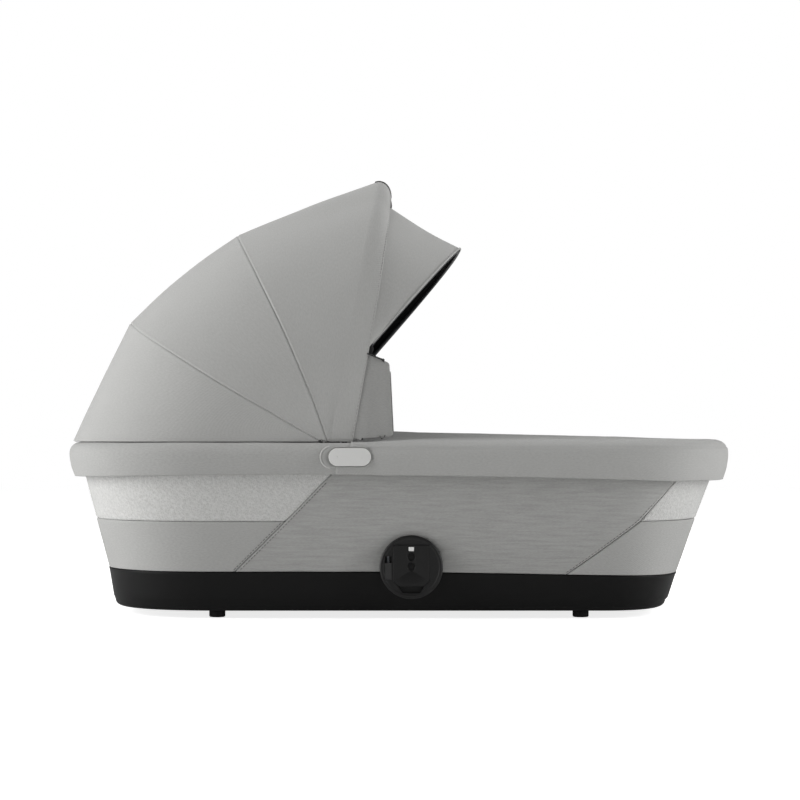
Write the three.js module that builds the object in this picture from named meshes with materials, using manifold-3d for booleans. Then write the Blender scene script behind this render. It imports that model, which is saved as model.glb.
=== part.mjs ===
// A pram carrycot with a folding canopy, a collapsing tub and receivers for a chassis adapter.
// Units are millimetres, +Z is up, the head end is at -X and the foot end at +X.
// The origin is on the floor, under the middle of the overall box. Left is +Y and right is -Y.

import * as THREE from 'three';
import { mergeVertices } from 'three/addons/utils/BufferGeometryUtils.js';
import Module from 'manifold-3d';

const wasm = await Module();
wasm.setup();

// Driving dimensions, in millimetres

const gap = 0.3;                 // between touching pieces
const overrun = 30;              // how far a cutter passes through what it cuts
const clothThickness = 2.5;      // outer fabric with its foam backing
const liningThickness = 3;       // quilted inner lining
const liningRoom = 2.4;          // between the outer fabric and the lining

// Plan outlines: reach of each end from the middle, half width, and the length of each rounded end
const rimPlan = { head: 422, foot: 419.4, halfWidth: 219.6, headCap: 200, footCap: 196 };
const planRoundness = 2.5;       // power of the rounded ends: 2 is an ellipse, more is squarer

// How much less than the rim the other plans measure
const wallTopLess = { head: 17, foot: 14.4, halfWidth: 14.6, headCap: 14, footCap: 16 };
const trayTopLess = { head: 50, foot: 64.4, halfWidth: 47.6, headCap: 42, footCap: 94 };
const trayFloorLess = { head: 58, foot: 78.4, halfWidth: 59.6, headCap: 50, footCap: 104 };

// Heights
const footHeight = 9;
const trayHeight = 49;           // from the tray's underside to its top edge
const trayTopFall = 6;           // how much lower the top edge is at the foot end
const wallTopZ = 186;
const bandBottomZ = 170;         // at the two ends
const bandArch = 8;              // how much higher the band's lower edge is at the canopy hinge
const bandWidestZ = 204;
const bandTopZ = 216.5;

// Tray, board, mattress and feet
const trayWall = 3;
const trayFloorEdge = 7;         // height of the rounded edge round the tray's underside
const footRadius = 10;
const footSpotX = 225;
const footInset = 30;            // from the tray floor's side to a foot's middle
const boardThickness = 4;
const mattressClearance = 12;    // from the tray's inner wall to the mattress
const mattressHeight = 52;
const mattressCrown = 9;
const mattressEdge = 15;         // rounding of the mattress's upper and lower edges
const mattressDrawIn = 2;        // how far the boxing between the edges is drawn in

// Rim tube and its padded band
const tubeRadius = 8;
const tubeInset = 15;            // from the band's widest line to the tube's middle
const tubeZ = 199;
const bandThickness = 3;
const bandDepth = 27.5;          // from the band's widest line to its inner face
const bandLipZ = 186;            // lower end of the band's inner lip

// Seams of the tub's cover, where the end panels meet the side panels
const headSeamLowX = -200;
const headSeamMiddleX = -138;
const headSeamHighX = -74;
const footSeamLowX = 205;
const footSeamMiddleX = 294;
const footSeamHighX = 354;
const meshLineZ = 120;           // lower edge of the mesh panels

// Canopy hinge
const hingeX = -84;
const hingeZ = 212;
const hingePinRadius = 3;
const pinClearance = 0.3;
const knuckleRadius = 10;
const knuckleWidth = 6.4;
const cheekThickness = 3;
const pinHeadRadius = 6;
const pinHeadThickness = 2.6;

// Bows and fabric of the canopy, each line in a plane through the hinge axis
const canopyInset = 13.6;        // from the band's widest line to the canopy's sides
const canopyRoundness = 2.35;
const bowRadius = 3.2;
const bowRoom = 0.8;             // between a bow and the fabric, which turns a corner there
const rimLine = { angle: 180, inset: 4, leg: 138, bend: 0, lift: 5.6 };
const rearLine = { angle: 149.1, reach: 304.6, leg: 105, bend: -2.5, lift: 0 };
const middleLine = { angle: 114.6, reach: 294.8, leg: 95, bend: 7.5, lift: 0 };
const frontLine = { angle: 80, reach: 340, leg: 125, bend: 0, lift: 0 };
const frontHemLow = 27;          // how far the front hem stands before the front bow, low down
const canopyBaseZ = 218.8;       // lower edge of the canopy, just above the band
const rearPanelBulge = 1;
const middlePanelBulge = 5;
const frontPanelBulge = 2;
const handleRoom = 1.6;          // between the padding and the fabric over it
const lipTurn = 105;             // how far the fabric turns down round the handle, in degrees
const lipStartShare = -0.28;     // where it first touches the handle, as a share of that turn
const handleRadius = 10;
const handleCoreHalfLength = 58;
const gripThickness = 2;
const gripHalfLength = 62;

// Wings in front of the front bow
const wingFrontX = -9;
const wingTopZ = 315;
const wingBaseZ = 222.5;
const wingTuck = 8;              // how far the wing reaches behind the canopy's front hem
const wingThickness = 3;
const wingCorner = 6;

// Visor, hinged on brackets that stand forward from the front bow
const visorHingeX = -38;
const visorHingeZ = 330;
const visorLine = { angle: 49, reach: 175, leg: 30, bend: 0, lift: 0 };
const visorRoundness = 2.3;
const visorBowRadius = 2.2;
const visorBossRadius = 7;
const visorBossWidth = 4;
const visorPinRadius = 1.6;
const visorThickness = 1.6;
const visorRoom = 1;             // between the visor bow and its fabric
const visorTuck = 5;             // how far the visor starts inside the canopy's hem
const visorRootShare = 0.6;      // how far below the handle's middle it starts, in padding radii
const bracketThickness = 3;

// Apron over the foot half
const apronFrontX = -13;
const apronThickness = 2.2;
const apronCrownZ = 229;
const apronFootZ = 219.5;
const apronSkirtGap = 0.4;

// Collapsing stays: a wire hoop at each end, hinged in a clip on the rim. Pins on its two lower
// ends run inward along curved slots in plates on the tray while the rim comes down.
const stayRun = 124;             // how far the hoop leans outward from its lower ends
const stayLowZ = 82;
const stayTopInset = { head: 36, foot: 33.4 }; // from the rim's outermost line to the hoop's top
const stayTopZ = 194;
const stayFoldedRise = 8;        // from the pins up to the hoop's top, when the tub is folded
const stayRoundness = 2.25;
const stayRadius = 3;
const stayCollarRadius = 5;
const stayCollarWidth = 6.4;
const stayPinRadius = 2.5;
const bracketPlate = 2.5;
const bracketBorder = 10;        // from the slot's middle line to the plate's edge
const bracketLowZ = 40;
const clipWall = 3;
const clipLength = 20;
const clipRoom = 0.9;            // the tube and the hoop are slightly curved inside the straight clip
const clipMouthHalfAngle = 55;   // half of the clip's open angle, in degrees

// Hinge hub and the release button
const hubFrontX = -33;
const hubRearX = -98;
const hubLowZ = 188;
const hubTopZ = 209;
const cheekRadius = 13;
const hubOuterInset = 6;         // from the band's widest line to the hub's outer face
const buttonLength = 51;
const buttonHeight = 22;
const buttonX = -59;
const buttonZ = 199;
const buttonProud = 2.6;
const buttonDepth = 4.5;
const buttonTravel = 3;
const buttonEase = 0.9;          // rounding of the button's face
const bezelLength = 62;
const bezelHeight = 25.5;
const bezelX = -63;
const bezelProud = 1.4;
const bezelDepth = 5;
const springRadius = 3.4;
const springWire = 1;

// Receiver for the chassis adapter
const receiverX = 15;
const receiverZ = 65;
const receiverRadius = 38.5;
const receiverInset = 28.6;      // from the band's widest line to the receiver's face
const receiverRimDepth = 9;      // depth of the full-width rim behind the face
const receiverDepth = 13;
const receiverBackRadius = 25;
const receiverEase = 2;
const bossHalfWidth = 20;
const bossTopZ = 51;
const bossLowZ = 28;
const plateWidth = 44;
const plateLowZ = 42;
const plateTopZ = 92;
const plateChamfer = 6;
const plateThickness = 3;
const plateRecess = 3.8;         // depth of the seat that the plate lies in
const socketWidth = 29;
const socketTopZ = 60;
const socketDepth = 10.8;        // from the receiver's face to the back of its channel
const mouthWidth = 33;
const mouthHeight = 9;
const studTopZ = 77.5;
const studLowZ = 66;
const studHeadRadius = 3.4;
const studRadius = 1.8;
const strapWidth = 18;
const strapThickness = 1.8;
const studSinkRadius = 4.6;
const windowWidth = 7;
const windowHeight = 5.5;
const windowZ = 87;
const latchWidth = 8;
const latchHeight = 20;
const latchLowZ = 50;
const latchX = -13;
const latchDepth = 8.7;          // from the receiver's face to the latch's back
const latchProud = 0.5;          // how far the latch stays below the receiver's face
const latchTravel = 4;
const latchNose = 12;            // how far the nose reaches beyond the latch's body
const latchNoseHeight = 4;
const latchNoseDepth = 4;
const noseLowZ = 51.4;
const latchSpringRadius = 2.4;
const latchSpringRoom = 8;

// Counts
const capSteps = 7;
const legSteps = 3;
const archSteps = 8;
const tubeSides = 6;
const roundSides = 20;
const receiverSides = 32;

const colours = {
  fabric: 0xa6a6a4, mesh: 0xc9c9c6, melange: 0x949492, lining: 0x3c3c3c, mattress: 0xd8d8d4,
  black: 0x161616, softBlack: 0x242424, steel: 0xb9bcbf, aluminium: 0xc4c6c8, leather: 0x2a2826,
  badge: 0xb6b6b4, bezel: 0xc6c6c4, window: 0xdcdcdc,
};

const carrycot = new THREE.Group();
const sides = [['left', 1], ['right', -1]];

// Adds one named piece to the carrycot
function addPiece(name, geometry, colour, roughness = 0.9, metalness = 0) {
  const material = new THREE.MeshStandardMaterial({ color: colour, roughness, metalness });
  const mesh = new THREE.Mesh(geometry, material);
  mesh.name = name;
  carrycot.add(mesh);
}

// Solid building

const mergeDistance = 1e-3;

// Merges the shared vertices, drops collapsed triangles and turns all faces outward
function tidy(source) {
  const bare = new THREE.BufferGeometry();
  bare.setAttribute('position', source.getAttribute('position').clone());
  if (source.index) bare.setIndex(source.index.clone());
  const merged = mergeVertices(bare, mergeDistance);
  const corners = merged.index.array;
  const kept = [];
  for (let i = 0; i < corners.length; i += 3) {
    const [a, b, c] = [corners[i], corners[i + 1], corners[i + 2]];
    if (a !== b && b !== c && c !== a) kept.push(a, b, c);
  }
  merged.setIndex(kept);
  if (signedVolume(merged) < 0) {
    for (let i = 0; i < kept.length; i += 3) [kept[i], kept[i + 1]] = [kept[i + 1], kept[i]];
    merged.setIndex(kept);
  }
  merged.computeVertexNormals();
  return merged;
}

function signedVolume(geometry) {
  const position = geometry.getAttribute('position');
  const corners = geometry.index.array;
  const [a, b, c] = [new THREE.Vector3(), new THREE.Vector3(), new THREE.Vector3()];
  let volume = 0;
  for (let i = 0; i < corners.length; i += 3) {
    a.fromBufferAttribute(position, corners[i]);
    b.fromBufferAttribute(position, corners[i + 1]);
    c.fromBufferAttribute(position, corners[i + 2]);
    volume += a.dot(b.cross(c));
  }
  return volume;
}

// A body between an outer and an inner grid of points. wrap joins each row's ends into a ring.
// openFirst and openLast leave out the wall along a row that is zipped shut on itself.
function shell(outer, inner, { wrap = false, openFirst = false, openLast = false } = {}) {
  const rows = outer.length;
  const columns = outer[0].length;
  const vertices = [...outer.flat(), ...inner.flat()];
  const triangles = [];
  const place = (layer, row, column) => layer * rows * columns + row * columns + (column % columns);
  const quad = (a, b, c, d) => {
    const straight = vertices[a].distanceTo(vertices[c]) <= vertices[b].distanceTo(vertices[d]) + mergeDistance;
    triangles.push(...(straight ? [a, b, c, a, c, d] : [a, b, d, b, c, d]));
  };
  const lastColumn = wrap ? columns : columns - 1;
  for (let row = 0; row < rows - 1; row += 1) {
    for (let column = 0; column < lastColumn; column += 1) {
      const next = column + 1;
      quad(place(0, row, column), place(0, row, next), place(0, row + 1, next), place(0, row + 1, column));
      quad(place(1, row, column), place(1, row + 1, column), place(1, row + 1, next), place(1, row, next));
    }
  }
  for (let column = 0; column < lastColumn; column += 1) {
    const next = column + 1;
    const last = rows - 1;
    if (!openFirst) quad(place(0, 0, column), place(1, 0, column), place(1, 0, next), place(0, 0, next));
    if (!openLast) quad(place(0, last, next), place(1, last, next), place(1, last, column), place(0, last, column));
  }
  if (!wrap) {
    const end = columns - 1;
    for (let row = 0; row < rows - 1; row += 1) {
      quad(place(0, row, 0), place(0, row + 1, 0), place(1, row + 1, 0), place(1, row, 0));
      quad(place(0, row + 1, end), place(0, row, end), place(1, row, end), place(1, row + 1, end));
    }
  }
  const geometry = new THREE.BufferGeometry();
  geometry.setAttribute('position', new THREE.Float32BufferAttribute(vertices.flatMap((p) => p.toArray()), 3));
  geometry.setIndex(triangles);
  return tidy(geometry);
}

function toManifold(geometry) {
  const body = tidy(geometry);
  const vertProperties = new Float32Array(body.getAttribute('position').array);
  const triVerts = new Uint32Array(body.index.array);
  return new wasm.Manifold(new wasm.Mesh({ numProp: 3, vertProperties, triVerts }));
}

function fromManifold(body) {
  const mesh = body.getMesh();
  const geometry = new THREE.BufferGeometry();
  geometry.setAttribute('position', new THREE.Float32BufferAttribute(mesh.vertProperties, 3));
  geometry.setIndex(Array.from(mesh.triVerts));
  return tidy(geometry);
}

function join(first, ...others) {
  let body = toManifold(first);
  for (const other of others) body = body.add(toManifold(other));
  return fromManifold(body);
}

function cut(first, ...others) {
  let body = toManifold(first);
  for (const other of others) body = body.subtract(toManifold(other));
  return fromManifold(body);
}

// Mirrors a +Y piece to the other side when side is -1
function onSide(geometry, side) {
  return tidy(geometry.clone().scale(1, side, 1));
}

// A box between two corners
function block([x0, y0, z0], [x1, y1, z1]) {
  const box = new THREE.BoxGeometry(x1 - x0, y1 - y0, z1 - z0);
  return box.translate((x0 + x1) / 2, (y0 + y1) / 2, (z0 + z1) / 2);
}

// A solid of revolution about a line along Y through (x, z), from [radius, y] profile points
function turned(x, z, profile, sidesRound = roundSides) {
  const points = profile.map(([radius, y]) => new THREE.Vector2(radius, y));
  return tidy(new THREE.LatheGeometry(points, sidesRound).translate(x, 0, z));
}

// A plain cylinder along Y
function rod(x, z, radius, y0, y1, sidesRound = roundSides) {
  return turned(x, z, [[0, y0], [radius, y0], [radius, y1], [0, y1]], sidesRound);
}

// A tube along a curve, with flat ends
function tubeAlong(points, radius, steps, sidesRound = tubeSides) {
  const section = new THREE.Shape();
  section.absarc(0, 0, radius, 0, 2 * Math.PI, false);
  const path = new THREE.CatmullRomCurve3(points);
  const settings = { steps, bevelEnabled: false, extrudePath: path, curveSegments: sidesRound / 2 };
  return tidy(new THREE.ExtrudeGeometry(section, settings));
}

// An outline in the XZ plane, extruded along Y from y0 to y1
function slab(shape, y0, y1, curveSegments = 6) {
  const body = new THREE.ExtrudeGeometry(shape, { depth: y1 - y0, bevelEnabled: false, curveSegments });
  return tidy(body.rotateX(Math.PI / 2).translate(0, y1, 0));
}

function stadium(x, z, length, height) {
  const shape = new THREE.Shape();
  const radius = height / 2;
  const reach = length / 2 - radius;
  shape.absarc(x + reach, z, radius, -Math.PI / 2, Math.PI / 2, false);
  shape.absarc(x - reach, z, radius, Math.PI / 2, 3 * Math.PI / 2, false);
  shape.closePath();
  return shape;
}

function polygon(points) {
  return new THREE.Shape(points.map(([x, z]) => new THREE.Vector2(x, z)));
}

// Plan outlines

const trayBaseZ = footHeight + gap;
const trayRimZ = trayBaseZ + trayHeight;
const radians = (degrees) => degrees * Math.PI / 180;
const mix = (a, b, share) => a + (b - a) * share;
const clamp = (value) => Math.min(1, Math.max(0, value));

function mixPlan(low, high, share) {
  const plan = {};
  for (const key of Object.keys(low)) plan[key] = mix(low[key], high[key], share);
  return plan;
}

// The rim's plan with each of its sizes less by the given amount
function insideRim(less) {
  const entries = Object.keys(rimPlan).map((size) => [size, rimPlan[size] - less[size]]);
  return Object.fromEntries(entries);
}

function insetPlan(plan, inset) {
  const smaller = {};
  for (const key of Object.keys(plan)) smaller[key] = plan[key] - inset;
  return smaller;
}

// A point on a rounded end: turn is 0 at the side and a quarter turn at the tip
function capPoint(halfWidth, leg, reach, turn, power) {
  const along = leg + (reach - leg) * Math.sin(turn) ** (2 / power);
  return [along, halfWidth * Math.cos(turn) ** (2 / power)];
}

// Half width of a plan at x
function halfWidthAt(plan, x) {
  const end = x < 0 ? 'head' : 'foot';
  const cap = plan[`${end}Cap`];
  const into = (Math.abs(x) - (plan[end] - cap)) / cap;
  if (into <= 0) return plan.halfWidth;
  return plan.halfWidth * (1 - clamp(into) ** planRoundness) ** (1 / planRoundness);
}

// One rounded end from the side to the tip. A share below 1 draws it in towards the middle line.
function endCap(plan, end, share) {
  const sign = end === 'head' ? -1 : 1;
  const leg = plan[end] - plan[`${end}Cap`];
  const points = [];
  for (let i = 0; i <= capSteps; i += 1) {
    const [along, across] = capPoint(plan.halfWidth, leg, plan[end], (i / capSteps) * Math.PI / 2, planRoundness);
    points.push([sign * (leg + (along - leg) * share), across * share]);
  }
  return points;
}

// A whole outline as a ring of points, at the height that heightAt gives for x
const sideShares = [0.75, 0.375, 0, -0.375, -0.75];

function ring(plan, heightAt, share = 1) {
  const reach = Math.min(plan.foot - plan.footCap, plan.head - plan.headCap);
  const straight = sideShares.map((place) => [place * reach, plan.halfWidth * share]);
  const half = [...endCap(plan, 'foot', share).reverse(), ...straight, ...endCap(plan, 'head', share)];
  const other = half.slice(1, -1).reverse().map(([x, y]) => [x, -y]);
  return [...half, ...other].map(([x, y]) => new THREE.Vector3(x, y, heightAt(x)));
}

// Base tray, feet and board

const trayFloorPlan = insideRim(trayFloorLess);
const trayTopPlan = insideRim(trayTopLess);
const wallTopPlan = insideRim(wallTopLess);
const trayTopAt = (x) => trayRimZ - trayTopFall * clamp(x / trayTopPlan.foot);
const trayPlanAt = (z) => mixPlan(trayFloorPlan, trayTopPlan, (z - trayBaseZ) / trayHeight);
const floorEdgeShares = [[1, 0], [0.35, 0.15], [0.08, 0.5], [0, 1]];

function baseTray() {
  const outer = [0, 1].map((share) => ring(insetPlan(trayFloorPlan, trayFloorEdge), () => trayBaseZ, share));
  const inner = [0, 1].map((share) => {
    return ring(insetPlan(trayFloorPlan, trayFloorEdge + trayWall), () => trayBaseZ + trayWall, share);
  });
  for (const [insetShare, heightShare] of floorEdgeShares.slice(1)) {
    const z = trayBaseZ + trayFloorEdge * heightShare;
    const plan = insetPlan(trayPlanAt(z), trayFloorEdge * insetShare);
    outer.push(ring(plan, () => z));
    inner.push(ring(insetPlan(plan, trayWall), () => Math.max(z, trayBaseZ + trayWall)));
  }
  outer.push(ring(trayTopPlan, trayTopAt));
  inner.push(ring(insetPlan(trayTopPlan, trayWall), trayTopAt));
  return shell(outer, inner, { wrap: true, openFirst: true });
}

const boardZ = trayBaseZ + trayWall + gap;
const boardPlan = insetPlan(trayFloorPlan, trayFloorEdge + trayWall + gap);

function mattressBoard() {
  const face = (z) => [0, 1].map((share) => ring(boardPlan, () => z, share));
  return shell(face(boardZ + boardThickness), face(boardZ), { wrap: true, openFirst: true });
}

// Mattress: crowned faces, rounded edges and a boxing that is drawn in between them

const mattressPlan = insetPlan(trayFloorPlan, trayWall + mattressClearance);
const crownShares = [0, 0.35, 0.7];
const cushionEdgeShares = [[1, 0], [0.42, 0.13], [0.08, 0.55], [0, 1]];

function mattressFace(faceZ, crown, way) {
  const rows = crownShares.map((share) => {
    return ring(insetPlan(mattressPlan, mattressEdge), () => faceZ + way * crown * (1 - share ** 2), share);
  });
  for (const [insetShare, depthShare] of cushionEdgeShares) {
    const plan = insetPlan(mattressPlan, mattressEdge * insetShare);
    rows.push(ring(plan, () => faceZ - way * mattressEdge * depthShare));
  }
  const waist = insetPlan(mattressPlan, mattressDrawIn);
  rows.push(ring(waist, () => faceZ - way * (mattressHeight - gap) / 2));
  return rows;
}

function mattress() {
  const lowZ = boardZ + boardThickness + gap;
  const top = mattressFace(lowZ + mattressHeight, mattressCrown, 1);
  return shell(top, mattressFace(lowZ, 0, -1), { wrap: true, openFirst: true });
}

addPiece('base_tray', baseTray(), colours.black, 0.55);
const footSpotY = trayFloorPlan.halfWidth - footInset;
let footNumber = 0;
for (const end of [-1, 1]) {
  for (const [, side] of sides) {
    footNumber += 1;
    const pad = new THREE.CylinderGeometry(footRadius, footRadius, footHeight, roundSides);
    pad.rotateX(Math.PI / 2).translate(end * footSpotX, side * footSpotY, footHeight / 2);
    addPiece(`foot_pad_${footNumber}`, tidy(pad), colours.softBlack, 0.9);
  }
}
addPiece('mattress_board', mattressBoard(), colours.softBlack, 0.8);
addPiece('mattress', mattress(), colours.mattress, 0.95);

// Tub cover: light mesh panels and plain panels round the ends, ribbed panels along the sides

const receiverFaceY = rimPlan.halfWidth - receiverInset;
const receiverBackY = receiverFaceY - receiverDepth;
const wallPlanAt = (z) => mixPlan(trayTopPlan, wallTopPlan, (z - trayRimZ) / (wallTopZ - trayRimZ));
const coverBaseAt = (x) => trayTopAt(x) + gap;

// Levels of the wall between two heights: the plan's height, and the real height at x
function wallLevels(lowAt, highZ) {
  return [0, 0.5, 1].map((share) => ({
    planZ: mix(lowAt(0), highZ, share),
    heightAt: (x) => mix(lowAt(x), highZ, share),
  }));
}
const meshLineAt = () => meshLineZ;
const fullWall = [...wallLevels(coverBaseAt, meshLineZ), ...wallLevels(meshLineAt, wallTopZ).slice(1)];

// Where a seam between an end panel and a side panel lies at height z
function seamAt(low, middle, high, z) {
  if (z < meshLineZ) return mix(low, middle, (z - trayRimZ) / (meshLineZ - trayRimZ));
  return mix(middle, high, (z - meshLineZ) / (wallTopZ - meshLineZ));
}
const headSeamAt = (z) => seamAt(headSeamLowX, headSeamMiddleX, headSeamHighX, z);
const footSeamAt = (z) => seamAt(footSeamLowX, footSeamMiddleX, footSeamHighX, z);

// Outline points from startX on the +Y side, round one end, to startX on the -Y side
function endRun(plan, end, startX, heightAt, share = 1) {
  const sign = end === 'head' ? -1 : 1;
  const cap = plan[`${end}Cap`];
  const leg = plan[end] - cap;
  const start = sign * startX;
  const into = clamp((start - leg) / cap);
  const firstTurn = Math.asin(into ** (planRoundness / 2));
  const half = [0, 1 / 3, 2 / 3].map((place) => [mix(start, Math.max(leg, start), place), 1]);
  for (const point of half) point[1] = halfWidthAt(plan, sign * point[0]);
  for (let i = 0; i <= capSteps; i += 1) {
    const turn = Math.max(firstTurn, (i / capSteps) * Math.PI / 2);
    half.push(capPoint(plan.halfWidth, leg, plan[end], turn, planRoundness));
  }
  const drawn = half.map(([x, y]) => [sign * (x > leg ? leg + (x - leg) * share : x), y * share]);
  const other = drawn.slice(0, -1).reverse().map(([x, y]) => [x, -y]);
  return [...drawn, ...other].map(([x, y]) => new THREE.Vector3(x, y, heightAt(x)));
}

// Outline points along one side, from the head seam to the foot seam
function sideRun(plan, headX, footX, side, heightAt) {
  const turnX = Math.min(plan.foot - plan.footCap, footX);
  const places = [0, 0.2, 0.4, 0.6, 0.8].map((share) => mix(headX, turnX, share));
  for (const share of [0, 0.25, 0.5, 0.75, 1]) places.push(mix(turnX, footX, share));
  return places.map((x) => new THREE.Vector3(x, side * halfWidthAt(plan, x), heightAt(x)));
}

function endPanel(end, seam, lowAt, highZ) {
  const sign = end === 'head' ? -1 : 1;
  const rows = (inset) => wallLevels(lowAt, highZ).map(({ planZ, heightAt }) => {
    const startX = seam(planZ) + sign * gap / 2;
    return endRun(insetPlan(wallPlanAt(planZ), inset), end, startX, heightAt);
  });
  return shell(rows(0), rows(clothThickness));
}

function sidePanel(side) {
  const rows = (inset) => fullWall.map(({ planZ, heightAt }) => {
    const plan = insetPlan(wallPlanAt(planZ), inset);
    return sideRun(plan, headSeamAt(planZ) + gap / 2, footSeamAt(planZ) - gap / 2, side, heightAt);
  });
  const around = [receiverRadius + gap, receiverBackY - overrun, receiverFaceY + overrun, receiverSides];
  const window = rod(receiverX, receiverZ, ...around);
  return cut(shell(rows(0), rows(clothThickness)), onSide(window, side));
}

const lining = clothThickness + liningRoom;

// Inner lining: hangs from under the band, turns in over the tray's edge and ends beside the board
function innerLiner() {
  const lowZ = boardZ + boardThickness + gap;
  const rows = (inset) => [
    ring(insetPlan(trayPlanAt(lowZ), inset), () => lowZ),
    ring(insetPlan(trayPlanAt(mix(lowZ, trayRimZ, 0.5)), inset), (x) => mix(lowZ, trayTopAt(x), 0.5)),
    ...fullWall.map(({ planZ, heightAt }) => ring(insetPlan(wallPlanAt(planZ), inset), heightAt)),
  ];
  return shell(rows(lining), rows(lining + liningThickness), { wrap: true });
}

for (const [end, seam] of [['head', headSeamAt], ['foot', footSeamAt]]) {
  const lower = endPanel(end, seam, coverBaseAt, meshLineZ - gap / 2);
  addPiece(`cover_${end}_lower`, lower, colours.fabric);
  addPiece(`cover_${end}_mesh`, endPanel(end, seam, () => meshLineZ + gap / 2, wallTopZ), colours.mesh);
}
for (const [name, side] of sides) addPiece(`cover_side_${name}`, sidePanel(side), colours.melange);
addPiece('inner_liner', innerLiner(), colours.lining);

// Rim tube and the padded band round it

const tubePlan = insetPlan(rimPlan, tubeInset);
const tubeSteps = 48;

function rimTube() {
  const points = ring(tubePlan, () => tubeZ);
  const path = new THREE.CatmullRomCurve3(points, true, 'centripetal');
  return tidy(new THREE.TubeGeometry(path, tubeSteps, tubeRadius, tubeSides, true));
}

// The band's section from its lower outer edge over the tube to its inner lip:
// shares of the band's depth inward, and of the height between its lower edge and its top
const bandShares = [
  [0.26, 0], [0.08, 0.3], [0, 0.68], [0.05, 0.84], [0.25, 0.96], [0.52, 1], [0.8, 0.965], [1, 0.83],
];
const bandBottomAt = (x) => bandBottomZ + bandArch * (1 - clamp(Math.abs(x - hingeX) / rimPlan.head) ** 2);

function bandSection() {
  const section = bandShares.map(([across, up]) => new THREE.Vector2(across * bandDepth, up * bandHeight));
  section.push(new THREE.Vector2(bandDepth, bandLipZ - bandBottomZ));
  return section;
}
const bandHeight = bandTopZ - bandBottomZ;

// The same path moved to its inner side by a distance, or to its outer side by a negative one
function movedIn(section, distance) {
  return section.map((point, i) => {
    const before = section[Math.max(0, i - 1)];
    const after = section[Math.min(section.length - 1, i + 1)];
    const along = after.clone().sub(before).normalize();
    if (i === 0) along.set(0, 1);
    if (i === section.length - 1) along.set(0, -1);
    return new THREE.Vector2(point.x + along.y * distance, point.y - along.x * distance);
  });
}

// Rows along the band's section. run makes one row from a plan and a height for every x.
function bandRows(section, run = ring) {
  return section.map(({ x: inset, y: height }) => {
    const low = clamp(1 - height / (bandWidestZ - bandBottomZ));
    const heightAt = (x) => bandBottomZ + height + low * (bandBottomAt(x) - bandBottomZ);
    return run(insetPlan(rimPlan, inset), height + bandBottomZ === bandLipZ ? () => bandLipZ : heightAt);
  });
}

function rimBand(cutters) {
  const section = bandSection();
  return cut(shell(bandRows(section), bandRows(movedIn(section, bandThickness)), { wrap: true }), ...cutters);
}

addPiece('rim_tube', rimTube(), colours.aluminium, 0.4, 0.9);

// Places on the hinge axis, stacked inward from the band's inner face

const bandInnerY = rimPlan.halfWidth - bandDepth;
const tubeY = rimPlan.halfWidth - tubeInset;
const cheekOuterY = bandInnerY - gap;
const cheekInnerY = cheekOuterY - cheekThickness;
const knucklePitch = knuckleWidth + gap;
const frontBowY = cheekInnerY - gap - knuckleWidth / 2;
const middleBowY = frontBowY - knucklePitch;
const rearBowY = middleBowY - knucklePitch;
const pinHeadY = rearBowY - knuckleWidth / 2 - gap;
const hubOuterY = rimPlan.halfWidth - hubOuterInset;
const knuckleHole = hingePinRadius + pinClearance;

// A cylinder along X
function bar(y, z, radius, x0, x1) {
  const body = new THREE.CylinderGeometry(radius, radius, x1 - x0, roundSides);
  return tidy(body.rotateZ(Math.PI / 2).translate((x0 + x1) / 2, y, z));
}

// The hub clamps the rim tube and carries the canopy's pin in a cheek inside the band
function hinge(side) {
  const saddle = block([hubRearX, cheekInnerY, hubLowZ], [hubFrontX, hubOuterY, hubTopZ]);
  const cheek = rod(hingeX, hingeZ, cheekRadius, cheekInnerY, cheekOuterY);
  const tube = bar(tubeY, tubeZ, tubeRadius + gap, hubRearX - overrun, hubFrontX + overrun);
  const hole = rod(hingeX, hingeZ, knuckleHole, cheekInnerY - overrun, tubeY);
  return onSide(cut(join(saddle, cheek), tube, hole), side);
}

function hingePin(side) {
  const head = pinHeadY - pinHeadThickness;
  const profile = [
    [0, head], [pinHeadRadius, head], [pinHeadRadius, pinHeadY], [hingePinRadius, pinHeadY],
    [hingePinRadius, cheekOuterY], [0, cheekOuterY],
  ];
  return onSide(turned(hingeX, hingeZ, profile, 16), side);
}

const buttonFaceY = rimPlan.halfWidth + buttonProud;
const buttonBackY = buttonFaceY - buttonDepth;
const bezelFaceY = rimPlan.halfWidth + bezelProud;

function button(side) {
  const grow = -2 * buttonEase;
  const rear = slab(stadium(buttonX, buttonZ, buttonLength, buttonHeight), buttonBackY, buttonFaceY - buttonEase);
  const face = slab(stadium(buttonX, buttonZ, buttonLength + grow, buttonHeight + grow), buttonBackY, buttonFaceY);
  return onSide(join(rear, face), side);
}

function bezel(side) {
  const rim = slab(stadium(bezelX, buttonZ, bezelLength, bezelHeight), bezelFaceY - bezelDepth, bezelFaceY);
  const hole = stadium(buttonX, buttonZ, buttonLength + 2 * gap, buttonHeight + 2 * gap);
  return onSide(cut(rim, slab(hole, bezelFaceY - overrun, bezelFaceY + overrun)), side);
}

// A plain sleeve along Y that stands for a coil spring
function springSleeve(x, z, radius, y0, y1) {
  const bore = radius - springWire;
  return turned(x, z, [[bore, y0], [radius, y0], [radius, y1], [bore, y1], [bore, y0]], 12);
}

for (const [name, side] of sides) {
  addPiece(`hinge_hub_${name}`, hinge(side), colours.softBlack, 0.6);
  addPiece(`hinge_pin_${name}`, hingePin(side), colours.steel, 0.3, 0.9);
  addPiece(`hinge_bezel_${name}`, bezel(side), colours.bezel, 0.5);
  addPiece(`hinge_button_${name}`, button(side), colours.badge, 0.45);
  const spring = springSleeve(buttonX, buttonZ, springRadius, hubOuterY + gap, buttonBackY - gap);
  addPiece(`button_spring_${name}`, onSide(spring, side), colours.steel, 0.3, 0.9);
}

// Collapsing stays, each a wire hoop between two slotted plates on the tray and a clip on the rim tube

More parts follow.
